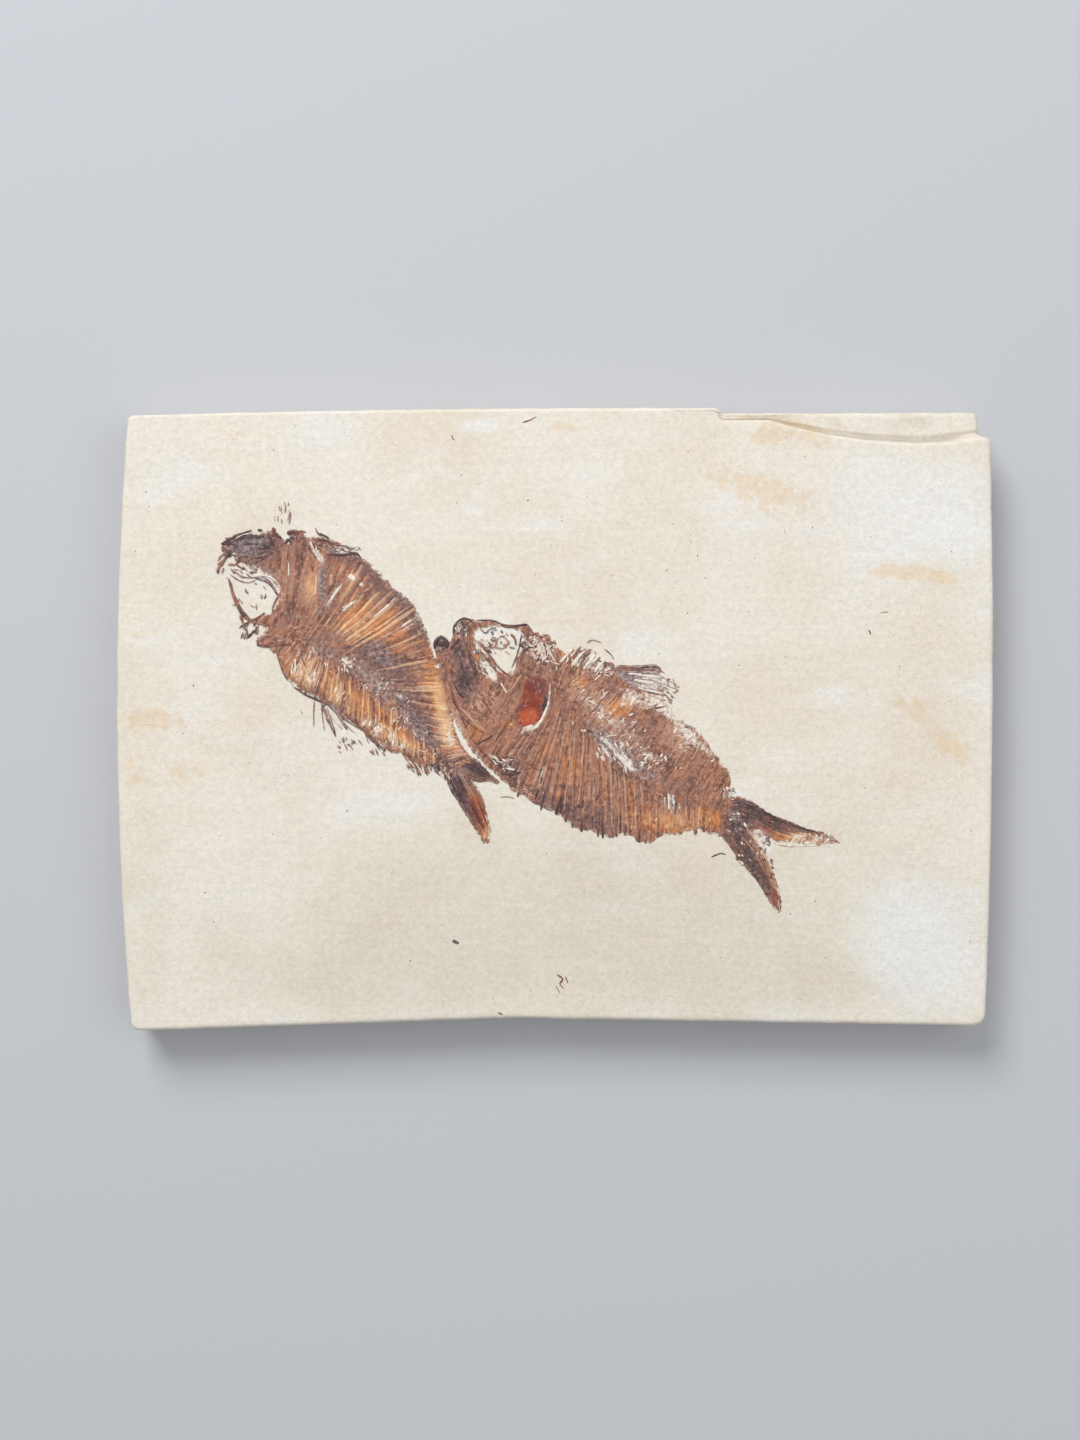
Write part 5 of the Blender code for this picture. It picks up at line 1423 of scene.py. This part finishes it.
def makeRaggedGroup():
    # turns a soft painted field into a mask whose edge is broken up by noise
    ins = (("Field", "NodeSocketFloat", 0.0), ("Place", "NodeSocketVector", None),
           ("Scale", "NodeSocketFloat", 1.0), ("Break", "NodeSocketFloat", 0.5),
           ("Soft", "NodeSocketFloat", 0.25))
    group, into, out = newGroup("raggedPatch", ins, (("Mask", "NodeSocketFloat"),))
    clouds = noiseOver(group, into["Place"], into["Scale"], 4.0, 0.6)
    shift = reckon(group, "MULTIPLY", reckon(group, "SUBTRACT", clouds, 0.5), into["Break"])
    pushed = reckon(group, "MULTIPLY_ADD", shift, 2.0, into["Field"])
    low = reckon(group, "SUBTRACT", 0.5, into["Soft"])
    high = reckon(group, "ADD", 0.5, into["Soft"])
    group.links.new(remapped(group, pushed, low, high), out["Mask"])
    return group


grainLook = {        # scale, detail and roughness of each noise
    "fine": (4.2, 3.0, 0.65), "coarse": (1.1, 2.0, 0.5), "pits": (1.7, 1.0, 0.4),
    "fineShare": 0.6, "coarseShare": 0.4, "pitEdge": (0.27, 0.4), "pitDepth": 0.6,
}


def makeGrainGroup():
    # the fine grain of the stone: a shade that varies about 0.5, and a height for bump
    ins = (("Place", "NodeSocketVector", None), ("Size", "NodeSocketFloat", 1.0))
    outs = (("Shade", "NodeSocketFloat"), ("Height", "NodeSocketFloat"))
    group, into, out = newGroup("stoneGrain", ins, outs)
    fine, coarse, pits = [
        noiseOver(group, into["Place"], reckon(group, "MULTIPLY", into["Size"], scale), detail, rough)
        for scale, detail, rough in (grainLook["fine"], grainLook["coarse"], grainLook["pits"])]
    shade = reckon(group, "MULTIPLY", coarse, grainLook["coarseShare"])
    shade = reckon(group, "MULTIPLY_ADD", fine, grainLook["fineShare"], shade)
    pits = remapped(group, pits, *grainLook["pitEdge"])
    group.links.new(shade, out["Shade"])
    group.links.new(reckon(group, "MULTIPLY_ADD", pits, grainLook["pitDepth"], shade), out["Height"])
    return group


def useGroup(tree, group, **inputs):
    made = tree.nodes.new("ShaderNodeGroup")
    made.node_tree = group
    for label, value in inputs.items():
        if isinstance(value, bpy.types.NodeSocket):
            tree.links.new(value, made.inputs[label])
        else:
            made.inputs[label].default_value = value
    return made.outputs


def newMaterial(name, rough, specular):
    made = bpy.data.materials.new(name)
    made.use_nodes = True
    shader = made.node_tree.nodes["Principled BSDF"]
    shader.inputs["Roughness"].default_value = rough
    shader.inputs["Specular IOR Level"].default_value = specular
    return made, made.node_tree, shader


def finishLook(tree, shader, colour, height, look):
    tree.links.new(colour, shader.inputs["Base Color"])
    inputs = {"Height": height, "Distance": look["bump"] * mm, "Strength": look["bumpStrength"]}
    tree.links.new(addNode(tree, "ShaderNodeBump", inputs).outputs[0], shader.inputs["Normal"])


stoneLook = {
    "cream": srgb(234, 227, 214), "warm": srgb(228, 217, 199), "cool": srgb(236, 233, 227),
    "ochre": srgb(228, 192, 142), "chalk": srgb(236, 237, 235), "darkening": srgb(204, 193, 170),
    # the last colour on the next line is painted shade for the groove under the lost layer's lip
    "bedDark": srgb(196, 176, 144), "speck": srgb(160, 140, 116), "creviceShade": srgb(132, 116, 98),
    "rough": 0.9, "specular": 0.25, "bump": 0.055, "bumpStrength": 0.8,
    # each noise: scale, detail and roughness; each range: where it starts and stops, least and most
    "cloudNoise": (0.05, 4.0, 0.55), "warmRange": (0.36, 0.7, 0.0, 0.8),
    "driftStretch": (0.4, 1.0, 1.0), "driftNoise": (0.11, 5.0, 0.6), "coolRange": (0.5, 0.72, 0.0, 0.7),
    "patches": {        # scale, how much the edge is broken up, softness, strength
        "darkening": (0.12, 0.5, 0.5, 0.45), "chalk": (0.2, 0.45, 0.5, 0.7), "ochre": (0.5, 1.1, 0.3, 0.38),
    },
    "bedStretch": (0.02, 0.02, 1.0), "bedNoise": (2.6, 3.0, 0.7), "bedRange": (0.5, 0.66), "bedShare": 0.65,
    "creviceShadeShare": 0.5, "grainSize": 1.0, "grainRange": (0.25, 0.75, 0.86, 1.1),
    "scrapeStretch": (0.06, 1.6, 1.0), "scrapeNoise": (0.8, 3.0, 0.6),
    "scrapeRange": (0.3, 0.7, 0.985, 1.012), "scrapeHeight": 0.5,
    "speckNoise": (2.4, 1.0, 0.5), "speckRange": (0.73, 0.8), "speckShare": 0.5,
}


def makeStoneLook(ragged, grain):
    look = stoneLook
    made, tree, shader = newMaterial("limestone", look["rough"], look["specular"])
    place = placeInMm(tree)
    stains = dict(zip(("ochre", "chalk", "darkening"), painted(tree, "stains")))
    worn, creviceShade, _ = painted(tree, "faceAndGrooveShade")
    clouds = noiseOver(tree, place, *look["cloudNoise"])
    colour = mixed(tree, remapped(tree, clouds, *look["warmRange"]), look["cream"], look["warm"])
    drift = noiseOver(tree, placeInMm(tree, look["driftStretch"]), *look["driftNoise"])
    colour = mixed(tree, remapped(tree, drift, *look["coolRange"]), colour, look["cool"])
    for name, (scale, broken, soft, strength) in look["patches"].items():
        mask = useGroup(tree, ragged, Field=stains[name], Place=place, Scale=scale, Break=broken, Soft=soft)
        colour = mixed(tree, reckon(tree, "MULTIPLY", mask["Mask"], strength), colour, look[name])
    # thin beds of darker stone show on the sides
    beds = noiseOver(tree, placeInMm(tree, look["bedStretch"]), *look["bedNoise"])
    onWall = reckon(tree, "MULTIPLY", reckon(tree, "SUBTRACT", 1.0, worn), look["bedShare"])
    beds = reckon(tree, "MULTIPLY", remapped(tree, beds, *look["bedRange"]), onWall)
    colour = mixed(tree, beds, colour, look["bedDark"])
    # painted shade: the groove under the lip of the lost layer turns brown-grey
    colour = mixed(tree, reckon(tree, "MULTIPLY", creviceShade, look["creviceShadeShare"]), colour, look["creviceShade"])
    # grain, specks and faint scrapes along the slab
    grains = useGroup(tree, grain, Place=place, Size=look["grainSize"])
    shade = remapped(tree, grains["Shade"], *look["grainRange"])
    scrapes = noiseOver(tree, placeInMm(tree, look["scrapeStretch"]), *look["scrapeNoise"])
    shade = reckon(tree, "MULTIPLY", shade, remapped(tree, scrapes, *look["scrapeRange"]))
    colour = shaded(tree, colour, shade)
    specks = remapped(tree, noiseOver(tree, place, *look["speckNoise"]), *look["speckRange"])
    colour = mixed(tree, reckon(tree, "MULTIPLY", specks, look["speckShare"]), colour, look["speck"])
    height = reckon(tree, "MULTIPLY_ADD", scrapes, look["scrapeHeight"], grains["Height"])
    finishLook(tree, shader, colour, height, look)
    return made


fossilLook = {
    "brown": srgb(176, 121, 96), "brownDark": srgb(104, 66, 55), "tan": srgb(206, 163, 138),
    "rust": srgb(212, 134, 76), "rustDark": srgb(160, 88, 54), "gold": srgb(244, 206, 156),
    "plum": srgb(136, 102, 96), "plumDark": srgb(78, 58, 62), "black": srgb(56, 46, 50),
    "pale": srgb(240, 230, 216), "paleShade": srgb(216, 194, 176),
    "blush": srgb(188, 78, 36), "blushDark": srgb(122, 44, 36), "ash": srgb(184, 168, 166),
    "ashDark": srgb(112, 92, 94), "fleck": srgb(228, 204, 184), "stone": srgb(230, 221, 206),
    "rough": 0.55, "specular": 0.35, "roughRange": (0.3, 0.7, 0.42, 0.72),
    "bump": 0.06, "bumpStrength": 0.8, "streakHeight": 1.4,
    # each noise: scale, detail and roughness
    "streakStretch": (1.5, 0.22, 1.0), "skinStreaks": (1.0, 3.0, 0.55), "boneStreaks": (0.9, 3.0, 0.6),
    "mottleNoise": (1.5, 5.0, 0.66), "blotchNoise": (0.35, 3.0, 0.5),
    "masks": {        # scale, how much the edge is broken up, softness
        "rust": (0.8, 0.6, 0.6), "plum": (1.2, 0.5, 0.5), "pale": (1.8, 0.6, 0.25),
        "blush": (0.9, 0.4, 0.3), "ash": (1.6, 0.6, 0.45), "light": (1.3, 0.5, 0.5),
        "thin": (1.6, 0.8, 0.4),
    },
    "ranges": {        # where a noise starts and stops telling, then the least and most it gives
        "brown": (0.34, 0.64), "basePlum": (0.5, 0.72, 0.0, 0.6), "baseTan": (0.5, 0.72, 0.0, 0.7),
        "rust": (0.35, 0.6), "lit": (0.36, 0.66), "plum": (0.35, 0.6), "black": (0.8, 1.0, 0.0, 0.6),
        "ash": (0.38, 0.62), "pale": (0.3, 0.55), "fleck": (0.56, 0.74, 0.0, 0.4),
    },
    "shares": {"light": 0.85, "gold": 0.7, "lit": 0.45, "blush": 0.9, "thin": 0.85},
    "fleckStretch": (2.8, 0.8, 1.0), "fleckNoise": (1.0, 3.0, 0.6),
    "grainSize": 1.3, "grainRange": (0.25, 0.75, 0.8, 1.18),
}


def makeFossilLook(name, ragged, grain, streaky):
    # streaky is for the skin, whose soft stripes run out along the ribs
    look = fossilLook
    made, tree, shader = newMaterial(name, look["rough"], look["specular"])
    place = placeInMm(tree)
    rust, plum, pale = painted(tree, "tones")
    blush, ash, light = painted(tree, "tints")
    if streaky:
        body = addNode(tree, "ShaderNodeAttribute", attribute_name="bodyPlace").outputs["Vector"]
        streaks = noiseOver(tree, stretched(tree, body, look["streakStretch"]), *look["skinStreaks"])
    else:
        streaks = noiseOver(tree, place, *look["boneStreaks"])
    mottle = noiseOver(tree, place, *look["mottleNoise"])
    blotch = noiseOver(tree, place, *look["blotchNoise"])

    def mask(field, tone):
        scale, broken, soft = look["masks"][tone]
        made = useGroup(tree, ragged, Field=field, Place=place, Scale=scale, Break=broken, Soft=soft)
        return made["Mask"]

    def within(value, tone):
        return remapped(tree, value, *look["ranges"][tone])

    def shareOf(value, tone):
        return reckon(tree, "MULTIPLY", value, look["shares"][tone])

    colour = mixed(tree, within(streaks, "brown"), look["brownDark"], look["brown"])
    colour = mixed(tree, within(blotch, "basePlum"), colour, look["plum"])
    colour = mixed(tree, within(mottle, "baseTan"), colour, look["tan"])
    lightMask = mask(light, "light")
    colour = mixed(tree, shareOf(lightMask, "light"), colour, look["tan"])
    rustColour = mixed(tree, within(streaks, "rust"), look["rustDark"], look["rust"])
    rustColour = mixed(tree, shareOf(lightMask, "gold"), rustColour, look["gold"])
    colour = mixed(tree, mask(rust, "rust"), colour, rustColour)
    lit = reckon(tree, "MULTIPLY_ADD", within(blotch, "lit"), look["shares"]["lit"], lightMask)
    blushColour = mixed(tree, lit, look["blushDark"], look["blush"])
    colour = mixed(tree, shareOf(mask(blush, "blush"), "blush"), colour, blushColour)
    plumColour = mixed(tree, within(mottle, "plum"), look["plumDark"], look["plum"])
    blacked = reckon(tree, "MULTIPLY", plum, reckon(tree, "SUBTRACT", 1.0, light))
    plumColour = mixed(tree, within(blacked, "black"), plumColour, look["black"])
    colour = mixed(tree, mask(plum, "plum"), colour, plumColour)
    ashColour = mixed(tree, within(mottle, "ash"), look["ashDark"], look["ash"])
    colour = mixed(tree, mask(ash, "ash"), colour, ashColour)
    paleColour = mixed(tree, within(mottle, "pale"), look["paleShade"], look["pale"])
    colour = mixed(tree, mask(pale, "pale"), colour, paleColour)
    grains = useGroup(tree, grain, Place=place, Size=look["grainSize"])
    if streaky:
        flecks = noiseOver(tree, stretched(tree, body, look["fleckStretch"]), *look["fleckNoise"])
        colour = mixed(tree, within(flecks, "fleck"), colour, look["fleck"])
        thin = painted(tree, "thin")[0]
        colour = mixed(tree, shareOf(mask(thin, "thin"), "thin"), colour, look["stone"])
    colour = shaded(tree, colour, remapped(tree, grains["Shade"], *look["grainRange"]))
    tree.links.new(remapped(tree, mottle, *look["roughRange"]), shader.inputs["Roughness"])
    height = reckon(tree, "MULTIPLY_ADD", streaks, look["streakHeight"], grains["Height"])
    finishLook(tree, shader, colour, height, look)
    return made


# The studio: a pale floor, soft lights, and a camera that looks straight down.

studio = {
    "cameraSpot": (-2.6, -0.1), "cameraRise": 347.0, "lens": 50.0, "sensor": 36.0,
    "nearest": 0.01,        # in m, nothing closer is drawn
    "floorSize": 6000.0, "floorColour": srgb(196, 198, 202), "floorRough": 0.9, "floorSpecular": 0.2,
    "worldColour": srgb(236, 238, 242), "worldStrength": 0.5,
    "lights": (        # name, place and size in mm, power in watts
        ("keyLight", (-330.0, 640.0, 700.0), 480.0, 7.0),
        ("fillLight", (520.0, 60.0, 760.0), 700.0, 1.7),
    ),
}


def makeStudio():
    scene = bpy.context.scene
    camera = bpy.data.cameras.new("camera")
    camera.lens, camera.sensor_width = studio["lens"], studio["sensor"]
    camera.clip_start = studio["nearest"]
    holder = bpy.data.objects.new("camera", camera)
    spotX, spotY = studio["cameraSpot"]
    holder.location = (spotX * mm, spotY * mm, (faceHeight + studio["cameraRise"]) * mm)
    scene.collection.objects.link(holder)
    scene.camera = holder
    for name, spot, size, power in studio["lights"]:
        light = bpy.data.lights.new(name, "AREA")
        light.size, light.energy = size * mm, power
        lamp = bpy.data.objects.new(name, light)
        lamp.location = Vector(spot) * mm
        lamp.rotation_euler = (-Vector(spot)).to_track_quat("-Z", "Y").to_euler()
        scene.collection.objects.link(lamp)
    world = bpy.data.worlds.new("studioWorld")
    world.use_nodes = True
    sky = world.node_tree.nodes["Background"]
    sky.inputs["Color"].default_value = studio["worldColour"]
    sky.inputs["Strength"].default_value = studio["worldStrength"]
    scene.world = world
    scene.view_settings.view_transform = "Standard"
    shape = bmesh.new()
    bmesh.ops.create_grid(shape, x_segments=1, y_segments=1, size=studio["floorSize"] / 2 * mm)
    mesh = bpy.data.meshes.new("floor")
    shape.to_mesh(mesh)
    shape.free()
    floor = bpy.data.objects.new("floor", mesh)
    scene.collection.objects.link(floor)
    paper, _, shader = newMaterial("floorPaper", studio["floorRough"], studio["floorSpecular"])
    shader.inputs["Base Color"].default_value = studio["floorColour"]
    mesh.materials.append(paper)


makeStudio()
print("studio ready")
raggedGroup, grainGroup = makeRaggedGroup(), makeGrainGroup()
stoneMaterial = makeStoneLook(raggedGroup, grainGroup)
skinMaterial = makeFossilLook("fossilSkin", raggedGroup, grainGroup, True)
boneMaterial = makeFossilLook("fossilBone", raggedGroup, grainGroup, False)
print("materials ready")
makeSlab(stoneMaterial)
print("slab ready")
for fish in (leftFish, rightFish):
    makeSkin(fish, skinMaterial)
    makeRibs(fish, boneMaterial)
    makeHairs(fish, boneMaterial)
    makeBackbone(fish, boneMaterial)
    makeSkull(fish, boneMaterial)
    makeScraps(fish, boneMaterial)
    print(fish["name"], "fish ready")
for name in lobes:
    makeLobe(name, skinMaterial, boneMaterial)
for name in finRays:
    makeFinRays(name, boneMaterial)
makeMarks(boneMaterial)
print("fins and marks ready")
